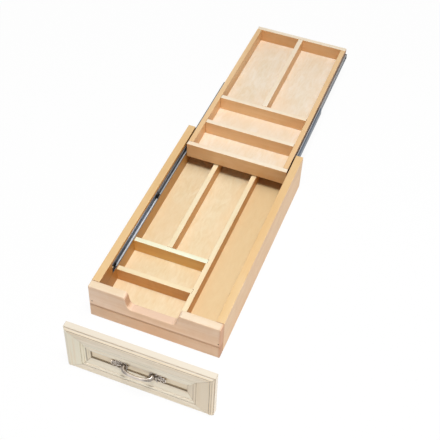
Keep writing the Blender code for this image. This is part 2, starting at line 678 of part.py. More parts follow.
def loose_front(axis):
    """Add the mitred frame, the inner mouldings and the flat panel of the loose front."""
    half_width = FRONT_WIDTH / 2
    half_height = FRONT_HEIGHT / 2
    back = FRONT_BOARD_THICKNESS
    groove_front = PANEL_RECESS - FIT_GAP
    groove_back = PANEL_RECESS + PANEL_THICKNESS + FIT_GAP

    def frame_section(width):
        section = [(0, back)]
        section.extend(
            (EDGE_MOULD_WIDTH * across, EDGE_MOULD_DEPTH * deep) for across, deep in EDGE_MOULD_SHARES
        )
        section.extend([
            (width, 0), (width, groove_front), (width - PANEL_GROOVE_DEPTH, groove_front),
            (width - PANEL_GROOVE_DEPTH, groove_back), (width, groove_back), (width, back),
        ])
        return section

    def moulding_section(inset, width):
        section = [(inset, PANEL_RECESS - FIT_GAP)]
        section.extend(
            (inset + across * width, deep * PANEL_RECESS) for across, deep in INNER_MOULD_SHARES
        )
        section.append((inset + width, PANEL_RECESS - FIT_GAP))
        return section

    frame_slope = FRONT_RAIL_WIDTH / STILE_WIDTH
    mould_slope = RAIL_MOULDING_WIDTH / STILE_MOULDING_WIDTH
    stile_inner = STILE_WIDTH + FIT_GAP
    rail_inner = FRONT_RAIL_WIDTH + FIT_GAP
    for flip, word in SIDES:
        frame_member(
            "front_stile_" + word, frame_section(STILE_WIDTH), half_width, half_height,
            lambda inset: inset * frame_slope + FIT_GAP, True, flip, axis, CREAM_FINISH,
        )
        frame_member(
            "front_moulding_" + word, moulding_section(stile_inner, STILE_MOULDING_WIDTH),
            half_width, half_height,
            lambda inset: rail_inner + (inset - stile_inner) * mould_slope + FIT_GAP,
            True, flip, axis, CREAM_FINISH,
        )
    for flip, word in ((-1, "bottom"), (1, "top")):
        frame_member(
            "front_rail_" + word, frame_section(FRONT_RAIL_WIDTH), half_height, half_width,
            lambda inset: inset / frame_slope + FIT_GAP, False, flip, axis, CREAM_FINISH,
        )
        frame_member(
            "front_moulding_" + word, moulding_section(rail_inner, RAIL_MOULDING_WIDTH),
            half_height, half_width,
            lambda inset: stile_inner + (inset - rail_inner) / mould_slope + FIT_GAP,
            False, flip, axis, CREAM_FINISH,
        )
    reach = half_width - STILE_WIDTH + PANEL_GROOVE_DEPTH - FIT_GAP
    rise = half_height - FRONT_RAIL_WIDTH + PANEL_GROOVE_DEPTH - FIT_GAP
    add_box(
        "front_panel",
        (FRONT_SIDE_OFFSET - reach, PANEL_FACE, half_height - rise),
        (FRONT_SIDE_OFFSET + reach, PANEL_REAR, half_height + rise),
        CREAM_FINISH,
        0,
        axis,
    )


def handle(axis):
    """Add the arched handle with its two leaf-shaped feet."""
    seat = PANEL_FACE - FIT_GAP
    leaf_front = seat - LEAF_THICKNESS
    bar_start = seat - LEAF_THICKNESS / 2
    half_span = ARCH_SPAN / 2
    points = [(-share * half_span, reach) for share, reach in ARCH_SHARES]
    points.extend((share * half_span, reach) for share, reach in reversed(ARCH_SHARES))
    sizes = BAR_SHARES + tuple(reversed(BAR_SHARES))
    curve = bpy.data.curves.new("handle_path", "CURVE")
    curve.dimensions = "3D"
    curve.bevel_depth = BAR_RADIUS
    curve.bevel_resolution = BAR_SEGMENTS
    curve.use_fill_caps = True
    spline = curve.splines.new("POLY")
    spline.points.add(len(points) - 1)
    for point, (x, reach), size in zip(spline.points, points, sizes):
        point.co = (x, bar_start - reach * ARCH_REACH, 0, 1)
        point.radius = size
    swept = bpy.data.objects.new("handle_path", curve)
    PART.objects.link(swept)
    bpy.context.view_layer.update()
    mesh = bpy.data.meshes.new_from_object(swept.evaluated_get(bpy.context.evaluated_depsgraph_get()))
    bpy.data.objects.remove(swept)
    mesh.name = "handle"
    shape = bmesh.new()
    shape.from_mesh(mesh)
    bmesh.ops.remove_doubles(shape, verts=shape.verts, dist=WELD_DISTANCE)
    bmesh.ops.translate(shape, vec=(0, -axis.location.y, 0), verts=shape.verts)
    bmesh.ops.recalc_face_normals(shape, faces=shape.faces)
    shape.to_mesh(mesh)
    shape.free()
    for polygon in mesh.polygons:
        polygon.use_smooth = True
    mesh.materials.clear()
    item = add_object("handle", mesh, (0, 0, HANDLE_HEIGHT - axis.location.z), PEWTER, axis)
    root = HANDLE_LENGTH / 2 - LEAF_LENGTH
    for side, word in SIDES:
        outline = [(side * (root + along * LEAF_LENGTH), up * LEAF_HEIGHT) for along, up in LEAF_SHARES]
        outline.extend(
            (side * (root + along * LEAF_LENGTH), -up * LEAF_HEIGHT)
            for along, up in reversed(LEAF_SHARES[:-1])
        )
        mesh = prism_mesh("leaf_" + word, outline, seat, leaf_front, lambda x, z, y: (x, y, z))
        leaf = add_object("leaf_" + word, mesh, (FRONT_SIDE_OFFSET, 0, HANDLE_HEIGHT), None)
        add_bevel(leaf, LEAF_EDGE)
        cut_with(item, leaf, "UNION")


def build():
    """Build every piece of the drawer."""
    drawer_sides()
    drawer_front()
    drawer_floor_and_back()
    lower_dividers()
    tray_axis = add_axis("tray_axis", (0, TRAY_FRONT_AT_REST, SLIDE_CENTRE_HEIGHT))
    tray(tray_axis)
    slides(tray_axis)
    front_axis = add_axis("front_axis", (FRONT_SIDE_OFFSET, FRONT_BOARD_REAR, 0))
    loose_front(front_axis)
    handle(front_axis)


build()
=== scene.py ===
"""Finishes, fixings, handle casting and studio for the two-tier cutlery drawer."""

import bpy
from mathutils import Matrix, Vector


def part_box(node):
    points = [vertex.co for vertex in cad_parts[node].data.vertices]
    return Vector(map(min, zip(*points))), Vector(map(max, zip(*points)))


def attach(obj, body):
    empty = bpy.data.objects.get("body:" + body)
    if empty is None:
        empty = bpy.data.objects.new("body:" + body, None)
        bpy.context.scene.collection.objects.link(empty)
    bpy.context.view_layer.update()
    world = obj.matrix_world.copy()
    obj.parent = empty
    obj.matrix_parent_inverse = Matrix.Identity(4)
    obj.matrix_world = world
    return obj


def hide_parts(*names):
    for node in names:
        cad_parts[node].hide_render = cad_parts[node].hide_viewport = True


bl_info = {
    "name": "Cutlery drawer dresser",
    "version": (1, 0, 0),
    "blender": (4, 5, 0),
    "location": "View3D > Sidebar > Drawer",
    "description": "Finishes the packed cutlery drawer: woods, slides, glazed front, handle and studio",
    "category": "Object",
}

import math

import bmesh
import bpy
from bpy.props import FloatProperty, FloatVectorProperty, IntProperty, PointerProperty
from mathutils import Euler, Matrix, Vector

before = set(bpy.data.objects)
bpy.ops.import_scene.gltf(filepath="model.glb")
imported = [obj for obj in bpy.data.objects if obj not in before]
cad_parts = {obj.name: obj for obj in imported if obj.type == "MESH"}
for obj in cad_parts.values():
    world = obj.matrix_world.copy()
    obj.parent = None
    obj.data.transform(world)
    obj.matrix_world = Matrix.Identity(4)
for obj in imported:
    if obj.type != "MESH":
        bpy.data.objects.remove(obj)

AXES = "xyz"

# The way from each side in to the middle of the drawer, along x
INWARD = {"left": 1, "right": -1}

# Slide steel, in metres, and how flat its screw heads are for their radius
SHEET = 0.001
CLEAR_OF_SHEET = SHEET + 0.00005
SCREW_FLATNESS = 0.28

# Tones of the wood, each as shares of the colour that it starts from
PALE_GRAIN = (1.05, 1.09, 1.16)
DEEP_GRAIN = (0.90, 0.80, 0.66)
WARM_GRAIN = (0.99, 0.86, 0.74)
PALE_EDGE = (1.03, 1.05, 1.09)
DEEP_EDGE = (0.93, 0.87, 0.76)
WARM_EDGE = (1.0, 0.90, 0.80)
SADDLE = (0.84, 0.79, 0.78)
PALE_RING = (0.78, 0.62, 0.50)
DARK_RING = (0.42, 0.25, 0.15)
JOINT_AND_SHADE = (0.50, 0.30, 0.16)
CONTACT_SHADE = (0.20, 0.13, 0.07)
DARK_END = (0.74, 0.50, 0.36)
FRONT_CORNER_SHADE = (0.68, 0.48, 0.28)
UNDERSIDE_SHADE = (0.42, 0.26, 0.13)
FLOOR_STRIP = (0.885, 0.775, 0.62)
REAR_CROSS_FACE = (1.08, 1.25, 1.15)
REAR_CROSS_EDGE = (1.0, 1.2, 1.4)
TRAY_BACK = (0.86, 0.80, 0.74)

# Tones of the cream paint, as shares
WIPED = (0.84, 0.76, 0.60)
# Painted shade on the up-facing cream
UPWARD_SHADE = (0.76, 0.78, 0.82)
# Painted light on the left upright and painted shade on the right one
LEFT_UPRIGHT_LIGHT = (1.06, 1.05, 1.04)
RIGHT_UPRIGHT_SHADE = (0.90, 0.86, 0.80)
# Painted light on the level mouldings and on the top bead
LEVEL_MOULDING_LIGHT = (1.04, 1.03, 1.04)
TOP_BEAD_LIGHT = (1.04, 1.03, 1.02)
PANEL = (1.01, 0.945, 0.82)


def box(name):
    """Give a node's lowest and highest corners as vectors."""
    low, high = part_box(name)
    return Vector(low), Vector(high)


def flanks(name, way):
    """Give where a node starts and where it ends on the way along x, which is 1 or -1."""
    low, high = box(name)
    return (low.x, high.x) if way > 0 else (high.x, low.x)


def linear(red, green, blue):
    """Turn a screen colour, 0 to 255, into the linear colour that shaders use."""
    shares = [value / 255 for value in (red, green, blue)]
    return tuple(s / 12.92 if s <= 0.04045 else ((s + 0.055) / 1.055) ** 2.4 for s in shares)


def tinted(shade, tint):
    """Scale a colour's channels by their shares, to full strength at most."""
    return tuple(min(channel * share, 1.0) for channel, share in zip(shade, tint))


def colour_property(name, text, shade):
    """Make a colour property."""
    return FloatVectorProperty(
        name=name, description=text, default=shade, subtype="COLOR", size=3, min=0.0, max=1.0
    )


def length_property(name, text, value):
    """Make a length property."""
    return FloatProperty(name=name, description=text, default=value, unit="LENGTH", min=0.0, precision=5)


def share_property(name, text, value, high=1.0):
    """Make a plain share property."""
    return FloatProperty(name=name, description=text, default=value, min=0.0, max=high)


def power_property(name, value):
    """Make a property for a lamp's power."""
    text = "Power of the " + name.lower()
    return FloatProperty(name=name, description=text, default=value, min=0.0, unit="POWER")


# Shader helpers


def joined(operation, swapped=False):
    """Make a method that joins a value with another one by a maths node."""

    def join(self, other):
        first, second = (other, self) if swapped else (self, other)
        return self.tree.node("ShaderNodeMath", {"operation": operation}, {0: first, 1: second})

    return join


class Value:
    """A shader value that takes part in Python expressions."""

    __add__ = joined("ADD")
    __radd__ = joined("ADD", swapped=True)
    __sub__ = joined("SUBTRACT")
    __rsub__ = joined("SUBTRACT", swapped=True)
    __mul__ = joined("MULTIPLY")
    __truediv__ = joined("DIVIDE")
    at_most = joined("MINIMUM")
    at_least = joined("MAXIMUM")

    def __init__(self, tree, socket):
        self.tree = tree
        self.socket = socket

    def __abs__(self):
        return self.tree.node("ShaderNodeMath", {"operation": "ABSOLUTE"}, {0: self})

    def share(self):
        """The value kept within 0 to 1."""
        return self.at_most(1.0).at_least(0.0)

    def between(self, low, high):
        """A smooth 0 to 1 step between two values."""
        settings = {"interpolation_type": "SMOOTHSTEP"}
        return self.tree.node("ShaderNodeMapRange", settings, {0: self, 1: low, 2: high})

    def about(self, place, blur):
        """A smooth 0 to 1 step that is blurred to both sides of a place."""
        return self.between(place - blur, place + blur)


class Tree:
    """The nodes of a material or of the world, under construction."""

    def __init__(self, owner):
        owner.use_nodes = True
        self.nodes = owner.node_tree.nodes
        self.links = owner.node_tree.links

    def feed(self, socket, value):
        """Set a socket, or link it to a value."""
        if isinstance(value, Value):
            self.links.new(value.socket, socket)
        elif socket.type == "RGBA" and len(value) == 3:
            socket.default_value = (*value, 1.0)
        else:
            socket.default_value = value

    def node(self, kind, settings=None, values=None, output=0):
        """Add a node with its settings first and its sockets after them."""
        made = self.nodes.new(kind)
        for name, value in (settings or {}).items():
            setattr(made, name, value)
        for name, value in (values or {}).items():
            self.feed(made.inputs[name], value)
        return Value(self, made.outputs[output])

    def seen(self):
        """Give 1 for what the camera sees, also in a mirror or through glass, and 0 for the rest."""
        camera, glossy, through = (
            self.node("ShaderNodeLightPath", output="Is " + ray + " Ray")
            for ray in ("Camera", "Glossy", "Transmission")
        )
        return camera.at_least(glossy).at_least(through)


class Finish(Tree):
    """A procedural material under construction."""

    def __init__(self, name):
        self.material = bpy.data.materials.new(name)
        super().__init__(self.material)
        self.shader = self.nodes["Principled BSDF"]
        self.place = self.node("ShaderNodeTexCoord", output="Object")

    def set(self, **values):
        """Set or link the shader's own sockets."""
        for name, value in values.items():
            self.feed(self.shader.inputs[name.replace("_", " ").title()], value)

    def moved(self, scale, offset=(0, 0, 0)):
        """The object's own coordinates, scaled by one number or by three, and shifted."""
        scale = scale if isinstance(scale, tuple) else (scale,) * 3
        values = {"Vector": self.place, "Scale": scale, "Location": offset}
        return self.node("ShaderNodeMapping", None, values)

    def noise(self, scale, offset=(0, 0, 0), detail=2.0, roughness=0.5, distortion=0.0):
        """Cloudy noise from 0 to 1."""
        values = {
            "Vector": self.moved(scale, offset), "Scale": 1.0, "Detail": detail,
            "Roughness": roughness, "Distortion": distortion,
        }
        return self.node("ShaderNodeTexNoise", None, values, "Fac")

    def mix(self, share, first, second):
        """Blend two colours."""
        return self.node("ShaderNodeMix", {"data_type": "RGBA"}, {0: share, 6: first, 7: second}, 2)

    def axis(self, name):
        """One of the object's own coordinates."""
        return self.node("ShaderNodeSeparateXYZ", None, {0: self.place}, name.upper())

    def signed(self, name):
        """How far the surface faces along an axis, -1 to 1."""
        normal = self.node("ShaderNodeTexCoord", output="Normal")
        return self.node("ShaderNodeSeparateXYZ", None, {0: normal}, name.upper())

    def facing(self, name):
        """How far the surface faces along an axis, either way, 0 to 1."""
        return abs(self.signed(name))

    def bump(self, height, distance, strength):
        """Turn a height into a bumped normal."""
        values = {"Height": height, "Distance": distance, "Strength": strength}
        self.feed(self.shader.inputs["Normal"], self.node("ShaderNodeBump", None, values))


def drawn(along, slow, fast):
    """Give a scale for each axis that draws noise out along one of them."""
    return tuple(slow if axis == along else fast for axis in AXES)


class Timber(Finish):
    """Clear-finished maple with its grain along one axis, its top edges in a paler colour that is partly
    painted light from above.
    """

    def __init__(self, node, look, face, edge, along, seed, veneer=False, edge_above=None, inside=None):
        """Lay the grain and the end grain.

        The edge's colour can be kept to above a height, with a saddle tone on what is level below it, and the
        faces that look towards +x can take a darker colour of their own as painted shade.
        """
        super().__init__(node + "_wood")
        self.look = look
        self.face = face
        offset = (seed * 0.73, seed * 1.31, seed * 0.57)

        def grown(slow, fast, **kind):
            return self.noise(drawn(along, slow, fast), offset, **kind)

        self.fibre = grown(26.0, 1300.0)
        fleck = grown(150.0, 1100.0, detail=1.0).between(0.66, 0.78)
        warm = grown(5.0, 11.0).between(0.45, 0.75)
        self.grain = self.veneer_grain(grown) if veneer else self.solid_grain(grown)
        contrast = (self.grain + (self.fibre - 0.5) * 0.35) * look.grain_contrast
        self.depth = (0.42 + contrast + fleck * 0.12).share()
        level = self.facing("z").between(0.75, 0.95)
        self.top = level
        if edge_above is not None:
            self.top = level * self.axis("z").between(edge_above, edge_above + 0.004)

        def toned(face_tint, edge_tint):
            return self.mix(self.top, tinted(face, face_tint), tinted(edge, edge_tint))

        # The top faces take the paler edge colour, partly as painted light from above.
        self.body = self.mix(self.depth, toned(PALE_GRAIN, PALE_EDGE), toned(DEEP_GRAIN, DEEP_EDGE))
        self.lay(warm * look.warmth, toned(WARM_GRAIN, WARM_EDGE))
        # Painted shade: the faces that look towards +x take the darker inside colour.
        if inside is not None:
            grain = self.mix(self.depth, tinted(inside, PALE_GRAIN), tinted(inside, DEEP_GRAIN))
            self.lay(self.signed("x").between(0.3, 0.8), grain)
        if edge_above is not None:
            self.lay(level * (1.0 - self.top) * 0.8, tinted(face, SADDLE))
        self.ends = self.facing(along).between(0.8, 0.95)
        rings = self.node(
            "ShaderNodeTexWave",
            {"wave_type": "RINGS", "rings_direction": along.upper(), "wave_profile": "SAW"},
            {
                "Vector": self.moved(1.0, (0.03, 0.02, -0.11)), "Scale": 130.0, "Distortion": 1.6,
                "Detail": 2.0, "Detail Scale": 40.0,
            },
            "Fac",
        )
        self.lay(self.ends * 0.85, self.mix(rings, tinted(face, PALE_RING), tinted(face, DARK_RING)))

    def solid_grain(self, grown):
        """Straight maple grain with a soft figure, centred on zero."""
        broad = grown(2.6, 16.0, distortion=0.6)
        figure = grown(4.5, 85.0, detail=3.0, roughness=0.55, distortion=0.8)
        cross = grown(34.0, 20.0, distortion=1.0)
        return (broad - 0.5) * 1.1 + (figure - 0.5) * 1.0 + (cross - 0.5) * 0.45

    def veneer_grain(self, grown):
        """Mottled rotary-cut veneer, centred on zero."""
        cloud = grown(8.0, 17.0, detail=3.0, distortion=1.2)
        curl = grown(15.0, 44.0, detail=3.0, distortion=2.2)
        ray = grown(60.0, 230.0)
        return (cloud - 0.5) * 1.0 + (curl - 0.5) * 1.0 + (ray - 0.5) * 0.7

    def lay(self, share, shade):
        """Lay a colour over the wood so far."""
        self.body = self.mix(share, self.body, shade)

    def draw_joint(self, height, half_width=0.0066):
        """Draw the dark line of a joint at a height, widened with painted shade of the groove between the
        rounded edges.
        """
        line = (1.0 - abs(self.axis("z") - height) / half_width).at_least(0.0)
        self.lay((line * 1.4).at_most(0.75), tinted(self.face, JOINT_AND_SHADE))

    def add_strip(self, place, tint):
        """Lay a deeper-toned strip of veneer beyond a place across the panel."""
        pale = tinted(tinted(self.face, PALE_GRAIN), tint)
        strip = self.mix(self.depth, pale, tinted(self.face, tint))
        self.lay(self.axis("x").between(place, place + 0.004), strip)

    def shade_contact(self, way, foot, head, blur=0.0003):
        """Paint shade on a band between two heights, where a slide lies against a face."""
        height = self.axis("z")
        band = height.about(foot, blur) * (1.0 - height.about(head, blur))
        band = band * (self.signed("x") * way).between(0.5, 0.9)
        self.lay(band * 0.85, tinted(self.face, CONTACT_SHADE))

    def darken_end(self, place, run=0.006):
        """Darken the last stretch before a place along x."""
        self.lay(self.axis("x").between(place - run, place) * 0.7, tinted(self.face, DARK_END))

    def paint_front_shade(self, near, far, shade):
        """Paint shade on the faces that look towards +x, deepening on their way to the front."""
        close = (1.0 - self.axis("y").between(near, far)) * (1.0 - self.top)
        self.lay(close * self.signed("x").between(0.3, 0.8) * 0.8, tinted(shade, FRONT_CORNER_SHADE))

    def paint_underside_shade(self):
        """Paint shade on the faces that look down."""
        self.lay(self.signed("z").between(-0.5, -0.9), tinted(self.face, UNDERSIDE_SHADE))

    def lacquered(self):
        """Give the finished material."""
        self.set(
            base_color=self.body, roughness=0.42 + self.fibre * 0.14 + self.ends * 0.12,
            coat_weight=self.look.lacquer, coat_roughness=0.32,
        )
        self.bump(self.fibre * 0.6 + self.grain * 0.2, 0.00012, 0.35)
        return self.material


def dress(node, material):
    """Give a CAD node its material."""
    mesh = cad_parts[node].data
    mesh.materials.clear()
    mesh.materials.append(material)


def link_shape(name, shape, material, smooth=False):
    """Make a bmesh into an object of one material."""
    mesh = bpy.data.meshes.new(name)
    shape.to_mesh(mesh)
    shape.free()
    for polygon in mesh.polygons:
        polygon.use_smooth = smooth
    mesh.materials.append(material)
    item = bpy.data.objects.new(name, mesh)
    bpy.context.scene.collection.objects.link(item)
    return item


def link_piece(name, shape, material, body, smooth=False):
    """Make a bmesh into a piece that rides on a body."""
    piece = link_shape(name, shape, material, smooth)
    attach(piece, body)
    return piece


# Sizes and colours that a user can change


class DrawerWoods(bpy.types.PropertyGroup):
    """Colours of the clear-finished timber."""

    # Each edge colour is paler than its face colour, partly as painted light from above.
    side_face: colour_property("Sides, faces", "Faces of the drawer's sides and back", linear(227, 190, 146))
    # The left side's inside colour is darker than its other faces, as painted shade inside the drawer.
    left_inside_shade: colour_property("Left side, inside", "Inside of the left side", linear(190, 138, 68))
    side_edge: colour_property("Sides, edges", "Top edges of the drawer's sides", linear(227, 192, 140))
    board_face: colour_property("Front board, faces", "Faces of the front board", linear(243, 214, 187))
    board_edge: colour_property("Front board, edges", "Top edge of the front board", linear(235, 214, 186))
    rail_face: colour_property("Front rail", "Faces of the front rail", linear(223, 190, 159))
    divider_face: colour_property("Dividers, faces", "Faces of the lower dividers", linear(217, 161, 94))
    divider_edge: colour_property("Dividers, edges", "Top edges of the lower dividers", linear(244, 228, 192))
    floor_face: colour_property("Drawer floor", "Floor panel of the drawer", linear(237, 219, 182))
    tray_face: colour_property("Tray, faces", "Faces of the tray's boards", linear(224, 180, 128))
    tray_edge: colour_property("Tray, edges", "Top edges of its ends and dividers", linear(246, 231, 208))
    tray_side_edge: colour_property("Tray sides, edges", "Top edges of its sides", linear(232, 195, 146))
    tray_floor: colour_property("Tray floor", "Floor panel of the tray", linear(242, 229, 208))
    grain_contrast: share_property("Grain contrast", "How strongly the grain shows", 1.4, 3.0)
    warmth: share_property("Warm patches", "How strongly the reddish patches show", 0.55)
    lacquer: share_property("Lacquer", "Weight of the clear coat", 0.12)


class FrontFinish(bpy.types.PropertyGroup):
    """Cream paint and brown glaze of the loose front."""

    cream: colour_property("Cream", "Colour of the paint", linear(255, 240, 215))
    cream_worn: colour_property("Cream, toned", "Paint toned by the wiped glaze", linear(250, 229, 196))
    glaze: colour_property("Glaze", "Brown glaze left in the mouldings", linear(112, 80, 38))
    line_width: length_property("Glaze line", "Half width of a glazed line", 0.0009)
    bead_drop: length_property("Bead height", "How far the top bead reaches down the moulding", 0.0182)
    bead_depth: length_property("Bead depth", "How far the top bead lies behind the frame's face", 0.0007)
    streaks: share_property("Streaks", "How strongly the wiped streaks show", 0.8, 2.0)


class SlideMetal(bpy.types.PropertyGroup):
    """Zinc-plated sheet of the slides."""

    zinc: colour_property("Zinc", "Colour of the plating", (0.95, 0.96, 0.98))
    zinc_dull: colour_property("Zinc, dull", "Colour of the duller spots", (0.74, 0.75, 0.77))
    # The web colour is painted shade: the webs of the bright zinc are drawn dark and bluish.
    zinc_web_shade: colour_property("Zinc, webs", "Colour of the oily webs", (0.17, 0.20, 0.245))
    lip_reach: length_property("Lip reach", "How far the fixed member reaches in from its groove", 0.0066)
    bend: length_property("Bends", "How far the rolled bends run back from each corner", 0.0010)
    screw_radius: length_property("Screw head", "Radius of a slide screw's head", 0.0032)
    screw_count: IntProperty(name="Screws", description="Screws on each member", default=4, min=1, max=8)


class HandleCasting(bpy.types.PropertyGroup):
    """Antique pewter handle."""

    pewter: colour_property("Pewter", "Rubbed high spots", (0.72, 0.64, 0.57))
    patina: colour_property("Patina", "Darkened hollows", (0.055, 0.040, 0.024))
    voxel: length_property("Casting detail", "Finest detail of the casting", 0.00042)
    bar_radius: length_property("Bar radius", "Radius of the bar at its middle", 0.0039)


class StudioLight(bpy.types.PropertyGroup):
    """Floor, lamps and camera."""

    world: share_property("Sky", "Strength of the white surroundings", 0.21, 3.0)
    key: power_property("Key lamp", 14.0)
    side: power_property("Side lamp", 10.2)
    front: power_property("Front lamp", 47.5)
    floor: share_property("Floor whiteness", "How white the floor looks to the camera", 0.95)
    lens: FloatProperty(name="Lens", description="Focal length", default=73.022, unit="CAMERA", min=1.0)


# Woods


class DRAWER_OT_box(bpy.types.Operator):
    """Finish the drawer box: sides, front board, front rail, back and floor"""

    bl_idname = "drawer.finish_box"
    bl_label = "Drawer box"

    def execute(self, context):
        woods = context.scene.drawer_woods
        slide_foot = box("slide_outer_left")[0].z
        contact_rise = 0.0024
        for seed, (side, inward) in zip((1.0, 2.6), INWARD.items()):
            node = "drawer_side_" + side
            # The left side's inside takes a darker colour as painted shade.
            inside = woods.left_inside_shade if side == "left" else None
            wood = Timber(node, woods, woods.side_face, woods.side_edge, "y", seed, inside=inside)
            # Painted shade on the wall's inside just below the slide.
            wood.shade_contact(inward, slide_foot - contact_rise, slide_foot)
            if inside is not None:
                # Painted shade that deepens towards the front of the left side's inside.
                wood.paint_front_shade(0.02, 0.13, inside)
            dress(node, wood.lacquered())
        back = Timber("drawer_back", woods, woods.side_face, woods.side_edge, "x", 5.2)
        dress("drawer_back", back.lacquered())
        low, high = box("drawer_front_board")
        fronts = (
            ("drawer_front_board", woods.board_face, 3.1, high.z - 0.007),
            ("drawer_front_rail", woods.rail_face, 4.7, low.z - 0.02),
        )
        for node, face, seed, edge_above in fronts:
            wood = Timber(node, woods, face, woods.board_edge, "x", seed, edge_above=edge_above)
            if node == "drawer_front_board":
                wood.draw_joint(low.z)
            wood.darken_end(high.x)
            dress(node, wood.lacquered())
        low, high = box("divider_long_right")
        floor = Timber("drawer_bottom", woods, woods.floor_face, woods.floor_face, "y", 6.9, veneer=True)
        floor.add_strip((low.x + high.x) / 2, FLOOR_STRIP)
        dress("drawer_bottom", floor.lacquered())
        return {"FINISHED"}


class DRAWER_OT_dividers(bpy.types.Operator):
    """Finish the four dividers of the lower tier"""

    bl_idname = "drawer.finish_dividers"
    bl_label = "Lower dividers"

    def execute(self, context):
        woods = context.scene.drawer_woods
        boards = (
            ("divider_long_middle", "y", 7.4), ("divider_long_right", "y", 8.8),
            ("divider_cross_front", "x", 9.3), ("divider_cross_rear", "x", 10.1),
        )
        for node, along, seed in boards:
            face, edge = woods.divider_face, woods.divider_edge
            if node == "divider_cross_rear":
                face, edge = tinted(face, REAR_CROSS_FACE), tinted(edge, REAR_CROSS_EDGE)
            dress(node, Timber(node, woods, face, edge, along, seed).lacquered())
        return {"FINISHED"}


class DRAWER_OT_tray(bpy.types.Operator):
    """Finish the sliding tray: walls, dividers and floor"""

    bl_idname = "drawer.finish_tray"
    bl_label = "Tray"

    def execute(self, context):
        woods = context.scene.drawer_woods
        slide_head = box("slide_inner_left")[1].z
        for seed, (side, inward) in zip((11.5, 12.2), INWARD.items()):
            node = "tray_side_" + side
            wood = Timber(node, woods, woods.tray_face, woods.tray_side_edge, "y", seed)
            # Painted shade on the tray side's outer face just above the slide.
            wood.shade_contact(-inward, slide_head - 0.0008, box(node)[1].z + 0.001)
            dress(node, wood.lacquered())
        boards = (
            ("tray_front", "x", 13.7), ("tray_back", "x", 14.4), ("tray_divider_cross_front", "x", 15.9),
            ("tray_divider_cross_rear", "x", 16.3), ("tray_divider_long", "y", 17.8),
        )
        for node, along, seed in boards:
            face = tinted(woods.tray_face, TRAY_BACK) if node == "tray_back" else woods.tray_face
            dress(node, Timber(node, woods, face, woods.tray_edge, along, seed).lacquered())
        floor = Timber("tray_bottom", woods, woods.tray_floor, woods.tray_floor, "y", 18.6, veneer=True)
        # Painted shade under the tray floor.
        floor.paint_underside_shade()
        dress("tray_bottom", floor.lacquered())
        return {"FINISHED"}


# Slides


def zinc_sheet(name, metal, seed, web_share=1.0, plate_share=1.0, stripe=None, rim=None):
    """Zinc plating with rolling lines along the slide, painted bright on its flanges as painted light and
    dark blue-grey on its webs as painted shade.

    A stripe keeps the bright plating, as painted light, between two places across the slide, below a height,
    and leaves the rest of the flanges in painted shade. A rim paints a highlight on the rolled edge above a
    height and beyond a place.
    """
    finish = Finish(name)
    offset = (seed, seed * 0.4, seed * 0.9)
    rolled = finish.noise((1500.0, 8.0, 1500.0), offset)
    spangle = finish.noise((160.0, 70.0, 160.0), offset)
    cloud = finish.noise((30.0, 18.0, 30.0), offset)
    dull = (spangle * 0.5 + cloud * 0.7 - 0.2).share()
    # Painted light and shade: the flanges, which face up or down, take the bright plating and the webs the
    # dark shaded colour.
    flange = finish.facing("z").between(0.3, 0.8)
    if stripe is not None:
        near, far, below = stripe
        across = finish.axis("x")
        flange = flange * across.about(near, 0.0005) * (1.0 - across.about(far, 0.0004))
        flange = flange * (1.0 - finish.axis("z").about(below, 0.001))
    if rim is not None:
        place, inward, head = rim
        soft = 0.0002
        beyond = (finish.axis("x") * inward).between(place * inward - soft, place * inward)
        flange = flange.at_least(beyond * finish.axis("z").between(head - soft, head))
    web = tinted(metal.zinc_web_shade, (web_share,) * 3)
    bright, worn = (tinted(shade, (plate_share,) * 3) for shade in (metal.zinc, metal.zinc_dull))
    shaded = finish.mix(dull * 0.5, web, tinted(web, (0.7,) * 3))
    finish.set(
        base_color=finish.mix(flange, shaded, finish.mix(dull, bright, worn)),
        roughness=0.30 + rolled * 0.12 + cloud * 0.1,
        metallic=0.9 - flange * 0.85,
    )
    finish.bump(rolled, 0.00005, 0.3)
    return finish.material


def black_moulding(name):
    """Moulded black plastic with a fine spark texture."""
    finish = Finish(name)
    grain = finish.noise(2400.0)
    scuff = finish.noise((220.0, 90.0, 220.0), detail=3.0).between(0.55, 0.75)
    body = finish.mix(scuff, (0.012, 0.012, 0.013), (0.035, 0.035, 0.036))
    finish.set(base_color=body, roughness=0.38 + grain * 0.2)
    finish.shader.inputs["Specular IOR Level"].default_value = 0.2
    finish.bump(grain, 0.00008, 0.4)
    return finish.material


def screw_head(shape, centre, inward, radius):
    """Add a low pan head with a sunk middle, facing along x."""
    rise = radius * SCREW_FLATNESS
    made = bmesh.ops.create_cone(
        shape, cap_ends=True, segments=20, radius1=radius, radius2=radius * 0.62, depth=rise
    )
    cap = max(
        {face for vert in made["verts"] for face in vert.link_faces},
        key=lambda face: face.calc_center_median().z,
    )
    inner = bmesh.ops.inset_individual(shape, faces=[cap], thickness=radius * 0.3)
    bmesh.ops.translate(shape, vec=(0, 0, -rise * 0.4), verts=list(cap.verts))
    verts = set(made["verts"]) | {vert for face in inner["faces"] for vert in face.verts} | set(cap.verts)
    place = Matrix.Translation(centre) @ Matrix.Rotation(math.radians(90) * inward, 4, "Y")
    bmesh.ops.transform(shape, matrix=place, verts=list(verts))


def round_edges(shape, edges, offset, segments):
    """Round some of a shape's edges off."""
    bmesh.ops.bevel(
        shape, geom=edges, offset=offset, segments=segments, profile=0.5, affect="EDGES", material=-1
    )


def add_block(shape, low, high, round_off):
    """Add a block between two corners with rounded edges."""
    made = bmesh.ops.create_cube(shape, size=1.0)["verts"]
    low, high = Vector(low), Vector(high)
    bmesh.ops.scale(shape, vec=high - low, verts=made)
    bmesh.ops.translate(shape, vec=(low + high) / 2, verts=made)
    round_edges(shape, list({edge for vert in made for edge in vert.link_edges}), round_off, 2)


